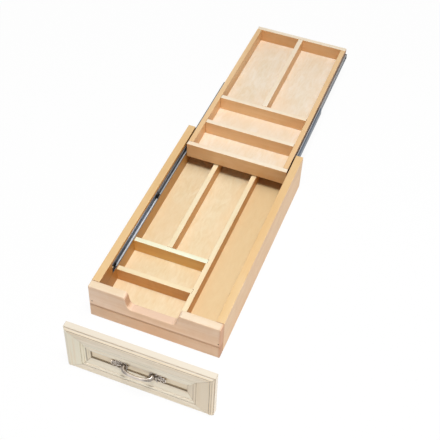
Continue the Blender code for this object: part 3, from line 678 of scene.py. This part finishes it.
class DRAWER_OT_slides(bpy.types.Operator):
    """Finish the slides, their cages and plastic ends, and add the screws that hold them"""

    bl_idname = "drawer.finish_slides"
    bl_label = "Slides"

    def execute(self, context):
        metal = context.scene.drawer_slides
        plastic = black_moulding("slide_black_plastic")
        for number, (side, inward) in enumerate(INWARD.items()):
            self.roll_outer(metal, side, inward, number)
            self.dress_middle(metal, side, inward, number)
            name = "slide_inner_" + side
            dress(name, zinc_sheet(name + "_zinc", metal, 9.0 + number, 2.2, 0.42))
            cage = zinc_sheet("cage_steel_" + side, metal, 21.0 + number)
            dress("ball_cage_outer_" + side, cage)
            dress("ball_cage_inner_" + side, cage)
            for part in ("slide_bumper_", "slide_clip_", "slide_end_cap_"):
                dress(part + side, plastic)
            self.add_bumper_plate(side, inward, plastic)
            self.add_clip_nose(side, inward, plastic)
            self.add_screws(metal, side, inward)
        return {"FINISHED"}

    def dress_middle(self, metal, side, inward, number):
        """Finish the middle member, with a painted highlight on its rolled upper edge and on the lip below.
        """
        name = "slide_middle_" + side
        low, high = box(name)
        lip = flanks(name, inward)[1]
        places = sorted((lip - inward * 0.0020, lip + inward * 0.001))
        stripe = (*places, (low.z + high.z) / 2)
        rim = (lip - inward * 0.0011, inward, high.z - 0.0018)
        dress(name, zinc_sheet(name + "_zinc", metal, 4.0 + number, 0.9, 0.55, stripe, rim))

    def roll_outer(self, metal, side, inward, number):
        """Roll the fixed member: a web, two flanges and two turned lips with rounded bends."""
        name = "slide_outer_" + side
        low, high = box(name)
        half_sheet = SHEET / 2
        turned = 0.0014
        back = flanks(name, inward)[0] + inward * half_sheet
        lip = back + inward * (metal.lip_reach - half_sheet)
        middle = (low.z + high.z) / 2
        rise = (high.z - low.z) / 2 - half_sheet
        section = (
            (lip, rise - turned), (lip, rise), (back, rise),
            (back, -rise), (lip, -rise), (lip, turned - rise),
        )
        shape = bmesh.new()
        verts = [shape.verts.new((x, low.y, middle + z)) for x, z in section]
        for first, second in zip(verts, verts[1:]):
            shape.edges.new((first, second))
        bmesh.ops.bevel(
            shape, geom=verts[1:-1], offset=metal.bend, segments=5, profile=0.5,
            affect="VERTICES", material=-1,
        )
        grown = bmesh.ops.extrude_edge_only(shape, edges=list(shape.edges))["geom"]
        far = [item for item in grown if isinstance(item, bmesh.types.BMVert)]
        bmesh.ops.translate(shape, vec=(0, high.y - low.y, 0), verts=far)
        bmesh.ops.recalc_face_normals(shape, faces=shape.faces)
        # Painted light: the bright plating is kept to a stripe of the lower flange, and the rest is painted
        # in shade.
        places = sorted((back + inward * 0.0020, lip - inward * 0.0009))
        material = zinc_sheet(name + "_zinc", metal, 3.0 + number * 7, stripe=(*places, middle))
        piece = link_piece(name + "_rolled", shape, material, "drawer", smooth=True)
        sheet = piece.modifiers.new("sheet", "SOLIDIFY")
        sheet.thickness = SHEET
        sheet.offset = 0.0
        sheet.use_even_offset = True
        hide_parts(name)

    def add_bumper_plate(self, side, inward, plastic):
        """Close the plastic stop's back with a thin plate and fill the corners of its mouth."""
        name, rail = "slide_bumper_" + side, "slide_outer_" + side
        low, high = box(name)
        rail_low, rail_high = box(rail)
        plate, plate_start, plate_end = 0.0007, 0.0015, 0.0015 + (high.y - low.y) * 0.82
        corner_rise, corner_end = 0.0040, 0.0057
        pad_rise, pad_end = 0.0015, 0.0176
        back = flanks(name, inward)[0] - inward * 0.0001
        lip = flanks(rail, inward)[1] + inward * 0.0002
        margin = (high.z - low.z) * 0.1
        shape = bmesh.new()
        near, far = sorted((back, back + inward * plate))
        foot, head = low.z + margin, high.z - margin
        add_block(shape, (near, low.y + plate_start, foot), (far, low.y + plate_end, head), 0.0002)
        near, far = sorted((back, lip))
        for foot, head in ((low.z, low.z + corner_rise), (high.z - corner_rise, high.z)):
            add_block(shape, (near, low.y - 0.0003, foot), (far, low.y + corner_end, head), 0.0005)
        floor, roof = rail_low.z + CLEAR_OF_SHEET, rail_high.z - CLEAR_OF_SHEET
        for foot, head in ((floor, floor + pad_rise), (roof - pad_rise, roof)):
            add_block(shape, (near, low.y - 0.0002, foot), (far, low.y + pad_end, head), 0.0003)
        link_piece("slide_bumper_plate_" + side, shape, plastic, "drawer")

    def add_clip_nose(self, side, inward, plastic):
        """Add the clip's two snap hooks, seated inside the middle member's front end."""
        name, rail = "slide_clip_" + side, "slide_middle_" + side
        low, high = box(name)
        rail_low, rail_high = box(rail)
        hook_start, hook_end, hook_lap = 0.0001, 0.0140, 0.0007
        back = flanks(name, inward)[0] + inward * 0.0011
        lip = flanks(rail, inward)[1] - inward * 0.0001
        near, far = sorted((back, lip))
        floor, roof = rail_low.z + CLEAR_OF_SHEET, rail_high.z - CLEAR_OF_SHEET
        shape = bmesh.new()
        for foot, head in ((floor, low.z + hook_lap), (high.z - hook_lap, roof)):
            add_block(shape, (near, low.y + hook_start, foot), (far, low.y + hook_end, head), 0.0003)
        body = "slide_middle_body_" + side
        link_piece("slide_clip_hooks_" + side, shape, plastic, body)

    def add_screws(self, metal, side, inward):
        """Add the pan-head screws on the webs of the fixed and the tray member."""
        rise = metal.screw_radius * SCREW_FLATNESS / 2
        for part, body, facing in (("slide_outer_", "drawer", inward), ("slide_inner_", "tray", -inward)):
            low, high = box(part + side)
            shape = bmesh.new()
            x = flanks(part + side, facing)[0] + facing * (CLEAR_OF_SHEET + rise)
            for number in range(metal.screw_count):
                share = (number + 0.35) / metal.screw_count
                spot = Vector((x, low.y + share * (high.y - low.y), (low.z + high.z) / 2))
                screw_head(shape, spot, facing, metal.screw_radius)
            bmesh.ops.recalc_face_normals(shape, faces=shape.faces)
            material = zinc_sheet(part + side + "_screws_zinc", metal, 31.0)
            link_piece(part + side + "_screws", shape, material, body)


# Loose front


def glaze_line(across, place, strength, half_width):
    """Mark one thin line where a distance takes a set value, 0 to 1."""
    return (1.0 - abs(across - place) / half_width).at_least(0.0) * strength


def strongest(marks):
    """The strongest of several marks."""
    most = marks[0]
    for mark in marks[1:]:
        most = most.at_least(mark)
    return most


def cream_paint(name, look, along, seed, marks, shade=(1.0, 1.0, 1.0), gloss=0.7, wipe=0.7):
    """Cream paint with wiped brown glaze, streaked along the member and dark in its lines."""
    finish = Finish(name + "_cream")
    offset = (seed * 0.9, seed * 0.7, seed * 1.3)
    streak = finish.noise(drawn(along, 7.0, 300.0), offset, detail=3.0, roughness=0.65)
    band = finish.noise(drawn(along, 4.0, 90.0), offset)
    cloud = finish.noise(26.0, offset)
    fine = finish.noise(900.0, offset)
    tone = ((streak - 0.42) * 2.2 + (band - 0.5) * 1.4) * look.streaks + (cloud - 0.5) * 0.4
    # The shade tint brightens or darkens some members as painted light or painted shade.
    body = finish.mix(tone.share(), tinted(look.cream, shade), tinted(look.cream_worn, shade))
    wiped = (streak.between(0.54, 0.70) * look.streaks * wipe).at_most(1.0)
    body = finish.mix(wiped, body, tinted(look.cream_worn, WIPED))
    # Painted shade: the faces that look up take a darker, greyer cream.
    body = finish.mix(finish.signed("z").between(0.6, 0.95), body, tinted(look.cream, UPWARD_SHADE))
    patchy = 0.6 + finish.noise(70.0, offset) * 0.7
    lines = strongest([mark(finish) for mark in marks]) * (1.0 - finish.signed("y").between(0.5, 0.9))
    body = finish.mix((lines * patchy).at_most(1.0), body, look.glaze)
    finish.set(
        base_color=body, roughness=0.36 + cloud * 0.12 + streak * 0.08,
        coat_weight=gloss, coat_roughness=0.16,
    )
    finish.bump(streak * 0.5 + fine * 0.5, 0.0001, 0.3)
    return finish.material


class DRAWER_OT_front(bpy.types.Operator):
    """Finish the loose front: stiles, rails, mouldings and panel"""

    bl_idname = "drawer.finish_front"
    bl_label = "Loose front"

    def execute(self, context):
        look = context.scene.drawer_front
        left_low, left_high = box("front_stile_left")
        right = box("front_stile_right")[1].x
        top = box("front_rail_top")[1].z
        middle_x, half_x, half_z = (left_low.x + right) / 2, (right - left_low.x) / 2, top / 2
        corner_slope = box("front_rail_bottom")[1].z / (left_high.x - left_low.x)
        side_in, side_out = (corner.x - left_low.x for corner in box("front_moulding_left"))
        foot_in, foot_out = (corner.z for corner in box("front_moulding_bottom"))
        slope = (foot_out - foot_in) / (side_out - side_in)

        def from_side(finish):
            return half_x - abs(finish.axis("x") - middle_x)

        def from_rail(finish):
            return half_z - abs(finish.axis("z") - half_z)

        def across_x(finish):
            return finish.axis("x")

        def across_z(finish):
            return finish.axis("z")

        def mitre(finish):
            run = from_side(finish) * corner_slope - from_rail(finish)
            return glaze_line(run, 0.0, 0.32, look.line_width * 0.9)

        def inner_mitre(finish):
            run = (from_side(finish) - side_in) * slope - (from_rail(finish) - foot_in)
            return glaze_line(run, 0.0, 0.5, look.line_width)

        def mark(distance, line):
            place, strength, spread = line
            return lambda finish: glaze_line(distance(finish), place, strength, look.line_width * spread)

        def marks(distance, *lines):
            return [mark(distance, line) for line in lines]

        def edge_lines(share):
            edge = ((0.0014, 0.5, 0.8), (0.0059, 0.6, 0.9), (0.0085, 0.45, 0.8))
            return [(place, strength * share, spread) for place, strength, spread in edge]

        def paint(name, along, seed, lines, *tone, **kind):
            dress(name, cream_paint(name, look, along, seed, lines, *tone, **kind))

        # Each line is a place, a strength and a share of the line's width
        uprights = {
            "left": (
                edge_lines(0.6),
                [
                    (0.0358, 0.15, 1.2), (0.0418, 0.25, 1.4), (0.0466, 0.9, 2.0), (0.0510, 0.3, 1.2),
                    (side_out, 0.6, 1.6),
                ],
                LEFT_UPRIGHT_LIGHT,
            ),
            "right": (
                [(0.0014, 0.6, 1.0), (0.0053, 0.6, 1.1), (0.0091, 0.85, 1.4)],
                [(0.0358, 0.85, 1.6), (0.0430, 0.5, 1.5), (side_out, 0.4, 1.4)],
                RIGHT_UPRIGHT_SHADE,
            ),
        }
        # Each upright's tint is painted light on the left and painted shade on the right.
        for seed, (side, (outer, inner, shade)) in enumerate(uprights.items()):
            lines = marks(from_side, *outer) + [mitre]
            paint("front_stile_" + side, "z", 2.0 + seed, lines, shade, wipe=0.3)
            lines = marks(from_side, *inner) + [inner_mitre]
            paint("front_moulding_" + side, "z", 4.0 + seed, lines, shade, wipe=0.3)
        levels = {
            "top": (
                edge_lines(1.1) + [(0.0118, 0.3, 0.8), (0.0162, 0.22, 0.8)],
                [(foot_out, 0.3, 1.2), (foot_in + 0.0006, 0.2, 0.9)],
            ),
            "bottom": (edge_lines(0.45), [(foot_out, 0.5, 1.4)]),
        }
        for seed, (side, (outer, inner)) in enumerate(levels.items()):
            paint("front_rail_" + side, "x", 6.0 + seed, marks(from_rail, *outer) + [mitre])
            lines = marks(from_rail, *inner) + [inner_mitre]
            # Painted light: the level mouldings are brightened.
            paint("front_moulding_" + side, "x", 8.0 + seed, lines, LEVEL_MOULDING_LIGHT, 1.0)
        creases = marks(across_x, (left_low.x + side_out + 0.0006, 0.9, 2.2), (right - side_out, 0.4, 1.8))
        creases += marks(across_z, (foot_out + 0.0020, 0.9, 2.2), (top - foot_out, 0.3, 1.5))
        paint("front_panel", "x", 10.0, creases, PANEL, 1.0)
        lines = marks(from_rail, (foot_in + look.bead_drop, 0.35, 1.0), (foot_in + 0.0085, 0.3, 0.9))
        # Painted light on the bead.
        bead = cream_paint("front_moulding_bead", look, "x", 12.0, lines, TOP_BEAD_LIGHT, 1.0)
        ends = (left_low.x + side_in, right - side_in)
        self.add_bead(look, ends, top - foot_in, (side_out - side_in) / (foot_out - foot_in), bead)
        return {"FINISHED"}

    def add_bead(self, look, ends, head, slope, material):
        """Lay the mitred flat bead on the upper moulding, its foot stepping back to the moulding."""
        face = box("front_moulding_top")[0].y + look.bead_depth
        foot = head - look.bead_drop
        inset, gap, depth = 0.0018, 0.0002, 0.0042
        shape = bmesh.new()
        for vert in bmesh.ops.create_cube(shape, size=1.0)["verts"]:
            z = head - inset if vert.co.z > 0 else foot
            cut = (head - z) * slope + gap
            x = ends[1] - cut if vert.co.x > 0 else ends[0] + cut
            vert.co = Vector((x, face + depth if vert.co.y > 0 else face, z))
        round_edges(shape, list(shape.edges), 0.0006, 3)
        link_piece("front_moulding_bead_top", shape, material, "front")


# Handle


def pewter(name, look, centre, seat, reach):
    """Antique pewter, worn bright on the high spots, and bright along the middle of the bar partly from the
    wear of hands and partly as a painted highlight.
    """
    finish = Finish(name)
    pits = finish.noise(900.0, detail=3.0)
    cloud = finish.noise(170.0)
    high = finish.node("ShaderNodeNewGeometry", output="Pointiness").between(0.475, 0.545)
    middle = 1.0 - abs(finish.axis("x") - centre).between(0.012, 0.026)
    # Partly wear and partly a painted highlight: bright along the middle of the bar, away from its seat.
    held_wear_and_highlight = ((seat - finish.axis("y")) / reach).between(0.40, 0.80) * (0.25 + middle * 0.6)
    rubbed_and_highlit = (high.at_least(held_wear_and_highlight) + (cloud - 0.5) * 0.5 + (pits - 0.5) * 0.25).share()
    finish.set(
        base_color=finish.mix(rubbed_and_highlit, look.patina, look.pewter),
        roughness=0.42 - rubbed_and_highlit * 0.20 + pits * 0.08,
        metallic=1.0,
    )
    finish.bump(pits * 0.5 + cloud * 0.5, 0.0002, 0.35)
    return finish.material


def add_lobe(shape, centre, half_sizes, angle=0.0):
    """Add an ellipsoid lobe turned in the plane of the front."""
    made = bmesh.ops.create_uvsphere(shape, u_segments=16, v_segments=10, radius=1.0)
    size = Matrix.Diagonal((*half_sizes, 1.0))
    turn = Matrix.Rotation(angle, 4, "Y")
    bmesh.ops.transform(shape, matrix=Matrix.Translation(centre) @ turn @ size, verts=made["verts"])


def sweep(shape, path, sizes, sides=16):
    """Sweep an oval along a path in the x-y plane by extruding a ring step by step."""
    ring = bmesh.ops.create_circle(shape, cap_ends=True, segments=sides, radius=1.0)["verts"]
    base = [vert.co.copy() for vert in ring]
    edges = [edge for edge in shape.edges if all(vert in ring for vert in edge.verts)]

    def settle(verts, index):
        ahead = path[min(index + 1, len(path) - 1)]
        behind = path[max(index - 1, 0)]
        run = (ahead - behind).normalized()
        across = Vector((-run.y, run.x, 0))
        wide, tall = sizes[index]
        for vert, spot in zip(verts, base):
            vert.co = path[index] + across * spot.x * wide + Vector((0, 0, spot.y * tall))

    settle(ring, 0)
    for index in range(1, len(path)):
        grown = bmesh.ops.extrude_edge_only(shape, edges=edges)["geom"]
        fresh = {item for item in grown if isinstance(item, bmesh.types.BMVert)}
        grown_from = {
            vert: edge.other_vert(vert)
            for vert in ring for edge in vert.link_edges if edge.other_vert(vert) in fresh
        }
        ring = [grown_from[vert] for vert in ring]
        edges = [item for item in grown if isinstance(item, bmesh.types.BMEdge) and set(item.verts) <= fresh]
        settle(ring, index)
    shape.faces.new(ring)


class DRAWER_OT_handle(bpy.types.Operator):
    """Cast the arched handle with its leaf-shaped feet"""

    bl_idname = "drawer.cast_handle"
    bl_label = "Handle"

    def execute(self, context):
        look = context.scene.drawer_handle
        low, high = box("handle")
        centre = (low + high) / 2
        seat = high.y
        reach = high.y - low.y
        half = (high.x - low.x) / 2
        metal = pewter("handle_pewter", look, centre.x, seat, reach)
        shape = bmesh.new()
        self.add_bar(shape, look.bar_radius, centre, seat, reach, half)
        for side in (-1, 1):
            self.add_leaf(shape, centre, seat, half, side)
        bmesh.ops.recalc_face_normals(shape, faces=shape.faces)
        rough = link_shape("handle_rough", shape, metal)
        cast = rough.modifiers.new("cast", "REMESH")
        cast.mode = "VOXEL"
        cast.voxel_size = look.voxel
        soften = rough.modifiers.new("soften", "SMOOTH")
        soften.factor = 0.5
        soften.iterations = 2
        context.view_layer.update()
        depsgraph = context.evaluated_depsgraph_get()
        cast_mesh = bpy.data.meshes.new_from_object(rough.evaluated_get(depsgraph))
        bpy.data.objects.remove(rough)
        final = bmesh.new()
        final.from_mesh(cast_mesh)
        bmesh.ops.recalc_face_normals(final, faces=final.faces)
        piece = link_piece("handle_casting", final, metal, "front", smooth=True)
        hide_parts("handle")
        fewest_faces = 500
        if len(piece.data.polygons) < fewest_faces:
            raise RuntimeError("the handle casting came out empty")
        return {"FINISHED"}

    def add_bar(self, shape, radius, centre, seat, reach, half):
        """Sweep the arch between the two leaves, with two collars at each end."""
        steps = 36
        span = half * 0.52
        lift = 0.0026

        def arch(turn):
            out = math.sin(turn) ** 0.62
            x = centre.x - math.cos(turn) * span
            return Vector((x, seat - lift - out * (reach - lift - radius), centre.z))

        turns = [math.pi * step / steps for step in range(steps + 1)]
        swells = [0.92 + 0.6 * (1.0 - math.sin(turn)) ** 1.4 for turn in turns]
        sizes = [(radius * 0.92 * swell, radius * 1.12 * swell) for swell in swells]
        sweep(shape, [arch(turn) for turn in turns], sizes)
        for side in (-1, 1):
            for share, size in ((0.86, 1.42), (0.80, 1.2)):
                collar = radius * size
                add_lobe(shape, arch(math.acos(-side * share)), (collar * 0.42, collar * 0.86, collar))

    def add_leaf(self, shape, centre, seat, half, side):
        """Build one leaf of lobes, a rib and a scrolled root."""
        root = half * 0.42
        length = half - root
        y = seat - 0.0013
        # Place along the leaf, half length, half width and splay in degrees
        lobes = (
            (0.02, 0.24, 0.062, 74), (0.22, 0.27, 0.064, 58), (0.42, 0.25, 0.056, 46),
            (0.60, 0.21, 0.048, 36), (0.76, 0.15, 0.040, 24),
        )
        for along, long_half, wide_half, splay in lobes:
            angle = math.radians(splay)
            reach = length * long_half
            for up in (-1, 1):
                run, rise = side * math.cos(angle) * reach, up * math.sin(angle) * reach
                x = centre.x + side * (root + along * length + math.cos(angle) * reach * 0.86)
                z = centre.z + up * math.sin(angle) * reach * 0.86
                spot = Vector((x, y - 0.0006, z))
                add_lobe(shape, spot, (reach, 0.0017, length * wide_half), -up * side * angle)
                curl = Vector((x, y - 0.0019, z)) + Vector((run * 0.7, 0, rise * 0.7))
                add_lobe(shape, curl, (length * 0.055, 0.0014, length * 0.055))
        # Tip, rib, root and plate: place along, how far out, half length, half depth and half width
        parts = (
            (0.88, 0.0004, 0.13, 0.0016, 0.06), (0.45, 0.0015, 0.48, 0.0021, 0.035),
            (0.08, 0.0012, 0.17, 0.0036, 0.14), (0.36, -0.0004, 0.40, 0.0010, 0.10),
        )
        for along, out, long_half, deep_half, wide_half in parts:
            spot = Vector((centre.x + side * (root + along * length), y - out, centre.z))
            add_lobe(shape, spot, (length * long_half, deep_half, length * wide_half))


# Fixings


class DRAWER_OT_fixings(bpy.types.Operator):
    """Add the brads in the front board and the nickel tip at the front of each slide"""

    bl_idname = "drawer.add_fixings"
    bl_label = "Brads and tips"

    def execute(self, context):
        finish = Finish("brad_filler")
        filler = finish.mix(finish.noise(1200.0), (0.045, 0.012, 0.006), (0.10, 0.035, 0.015))
        finish.set(base_color=filler, roughness=0.6)
        low, high = box("drawer_front_board")
        shape = bmesh.new()
        turn = Matrix.Rotation(math.radians(90), 4, "X")
        # Each brad's place along x and its height
        for x, z in ((low.x + 0.0066, 0.0493), (high.x - 0.0042, 0.0469)):
            made = bmesh.ops.create_cone(
                shape, cap_ends=True, segments=12, radius1=0.0015, radius2=0.0014, depth=0.0004
            )
            place = Matrix.Translation((x, low.y, z)) @ turn
            bmesh.ops.transform(shape, matrix=place, verts=made["verts"])
        link_piece("front_board_brads", shape, finish.material, "drawer")
        for side, inward in INWARD.items():
            self.add_tip(side, inward)
        return {"FINISHED"}

    def add_tip(self, side, inward):
        """Add the nickel plate with a hole that covers the front of the plastic stop."""
        name = "slide_bumper_" + side
        low, high = box(name)
        half_run, half_rise, hole, thickness, drop, gap = 0.0029, 0.0057, 0.0017, 0.00012, 0.0035, 0.00002
        face = flanks(name, inward)[1] + inward * gap
        shape = bmesh.new()
        bmesh.ops.create_circle(shape, segments=24, radius=hole)
        for vert in bmesh.ops.create_circle(shape, segments=24, radius=1.0)["verts"]:
            reach = max(abs(vert.co.x), abs(vert.co.y))
            vert.co = Vector((vert.co.x / reach * half_rise, vert.co.y / reach * half_run, 0))
        bmesh.ops.bridge_loops(shape, edges=list(shape.edges))
        bmesh.ops.solidify(shape, geom=list(shape.faces), thickness=thickness)
        bmesh.ops.transform(shape, matrix=Matrix.Rotation(math.radians(90), 4, "Y"), verts=shape.verts)
        spread = [vert.co.x for vert in shape.verts]
        shift = -min(spread) if inward > 0 else -max(spread)
        centre = Vector((face + shift, low.y + half_run + 0.0002, (low.z + high.z) / 2 - drop))
        bmesh.ops.translate(shape, vec=centre, verts=shape.verts)
        bmesh.ops.recalc_face_normals(shape, faces=shape.faces)
        finish = Finish("slide_tip_nickel_" + side)
        brushed = finish.noise((1600.0, 120.0, 1600.0))
        finish.set(
            base_color=finish.mix(brushed, (0.86, 0.84, 0.80), (0.55, 0.53, 0.50)),
            roughness=0.18 + brushed * 0.14, metallic=1.0,
        )
        finish.bump(brushed, 0.00005, 0.3)
        link_piece("slide_tip_" + side, shape, finish.material, "drawer")


# Studio


class DRAWER_OT_stage(bpy.types.Operator):
    """Set up the floor, the lamps, the white surroundings and the camera"""

    bl_idname = "drawer.set_stage"
    bl_label = "Studio"

    def execute(self, context):
        look = context.scene.drawer_studio
        self.add_floor(look)
        self.add_world(context, look)
        self.add_lamp(context, "key_lamp", (0.5, 0.4, 2.7), (0.0, 0.35, 0.05), 1.0, look.key)
        self.add_lamp(context, "side_lamp", (2.3, -0.2, 0.5), (0.0, 0.3, 0.05), 0.9, look.side)
        self.add_lamp(context, "front_lamp", (0.35, -0.4, 2.6), (0.0, 0.1, 0.05), 0.5, look.front)
        self.add_camera(context, look)
        context.scene.view_settings.view_transform = "Standard"
        return {"FINISHED"}

    def add_floor(self, look):
        """Add a pale floor that keeps the drawer's shadow."""
        half_size, drop = 6.0, 0.0004
        shape = bmesh.new()
        bmesh.ops.create_grid(shape, x_segments=1, y_segments=1, size=half_size)
        bmesh.ops.translate(shape, vec=(0, 0, -drop), verts=shape.verts)
        finish = Finish("studio_floor_white")
        finish.set(base_color=(0.92, 0.92, 0.92), roughness=0.9)
        glow = finish.node("ShaderNodeEmission", None, {"Color": (1.0, 1.0, 1.0), "Strength": 1.0})
        surface = Value(finish, finish.shader.outputs[0])
        mixed = finish.node("ShaderNodeMixShader", None, {0: finish.seen() * look.floor, 1: surface, 2: glow})
        finish.feed(finish.nodes["Material Output"].inputs["Surface"], mixed)
        floor = link_shape("studio_floor", shape, finish.material)

    def add_world(self, context, look):
        """Surround the scene with white, plain to the camera and softer as light."""
        context.scene.world = bpy.data.worlds.new("studio_white")
        sky = Tree(context.scene.world)
        values = {"Value": sky.seen(), "To Min": look.world, "To Max": 1.0}
        background = sky.nodes["Background"].inputs
        sky.feed(background["Color"], (1.0, 1.0, 1.0))
        sky.feed(background["Strength"], sky.node("ShaderNodeMapRange", None, values))

    def add_lamp(self, context, name, place, target, size, power):
        """Add a large soft lamp that points at the drawer."""
        lamp = bpy.data.lights.new(name, "AREA")
        lamp.energy = power
        lamp.size = size
        item = bpy.data.objects.new(name, lamp)
        item.location = place
        aim = Vector(target) - Vector(place)
        item.rotation_euler = aim.to_track_quat("-Z", "Y").to_euler()
        context.scene.collection.objects.link(item)

    def add_camera(self, context, look):
        """Stand the camera where the photo was taken."""
        camera = bpy.data.cameras.new("photo_camera")
        camera.lens = look.lens
        camera.sensor_width = 36.0
        camera.sensor_fit = "HORIZONTAL"
        item = bpy.data.objects.new("photo_camera", camera)
        item.location = (0.46404222, -0.99176945, 1.53213491)
        degrees = (42.7435927, -2.1558238, 21.0644179)
        item.rotation_euler = Euler([math.radians(angle) for angle in degrees], "XYZ")
        context.scene.collection.objects.link(item)
        context.scene.camera = item


# Panel and run


OPERATORS = (
    DRAWER_OT_box, DRAWER_OT_dividers, DRAWER_OT_tray, DRAWER_OT_slides,
    DRAWER_OT_front, DRAWER_OT_handle, DRAWER_OT_fixings, DRAWER_OT_stage,
)
GROUPS = (
    ("drawer_woods", DrawerWoods), ("drawer_front", FrontFinish), ("drawer_slides", SlideMetal),
    ("drawer_handle", HandleCasting), ("drawer_studio", StudioLight),
)


class DRAWER_PT_panel(bpy.types.Panel):
    """Lists the drawer's sizes, colours and steps"""

    bl_label = "Cutlery drawer"
    bl_idname = "DRAWER_PT_panel"
    bl_space_type = "VIEW_3D"
    bl_region_type = "UI"
    bl_category = "Drawer"

    def draw(self, context):
        for name, group in GROUPS:
            area = self.layout.box()
            area.label(text=group.__doc__)
            settings = getattr(context.scene, name)
            for key in group.__annotations__:
                area.prop(settings, key)
        for operator in OPERATORS:
            self.layout.operator(operator.bl_idname)


def register():
    """Register the settings, the steps and the panel."""
    for name, group in GROUPS:
        bpy.utils.register_class(group)
        setattr(bpy.types.Scene, name, PointerProperty(type=group))
    for operator in OPERATORS:
        bpy.utils.register_class(operator)
    bpy.utils.register_class(DRAWER_PT_panel)


def unregister():
    """Take the panel, the steps and the settings away again."""
    bpy.utils.unregister_class(DRAWER_PT_panel)
    for operator in reversed(OPERATORS):
        bpy.utils.unregister_class(operator)
    for name, group in reversed(GROUPS):
        delattr(bpy.types.Scene, name)
        bpy.utils.unregister_class(group)


def main():
    """Run every step in order."""
    register()
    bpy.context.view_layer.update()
    bpy.ops.drawer.finish_box()
    bpy.ops.drawer.finish_dividers()
    bpy.ops.drawer.finish_tray()
    bpy.ops.drawer.finish_slides()
    bpy.ops.drawer.finish_front()
    bpy.ops.drawer.cast_handle()
    bpy.ops.drawer.add_fixings()
    bpy.ops.drawer.set_stage()


if __name__ == "__main__":
    main()
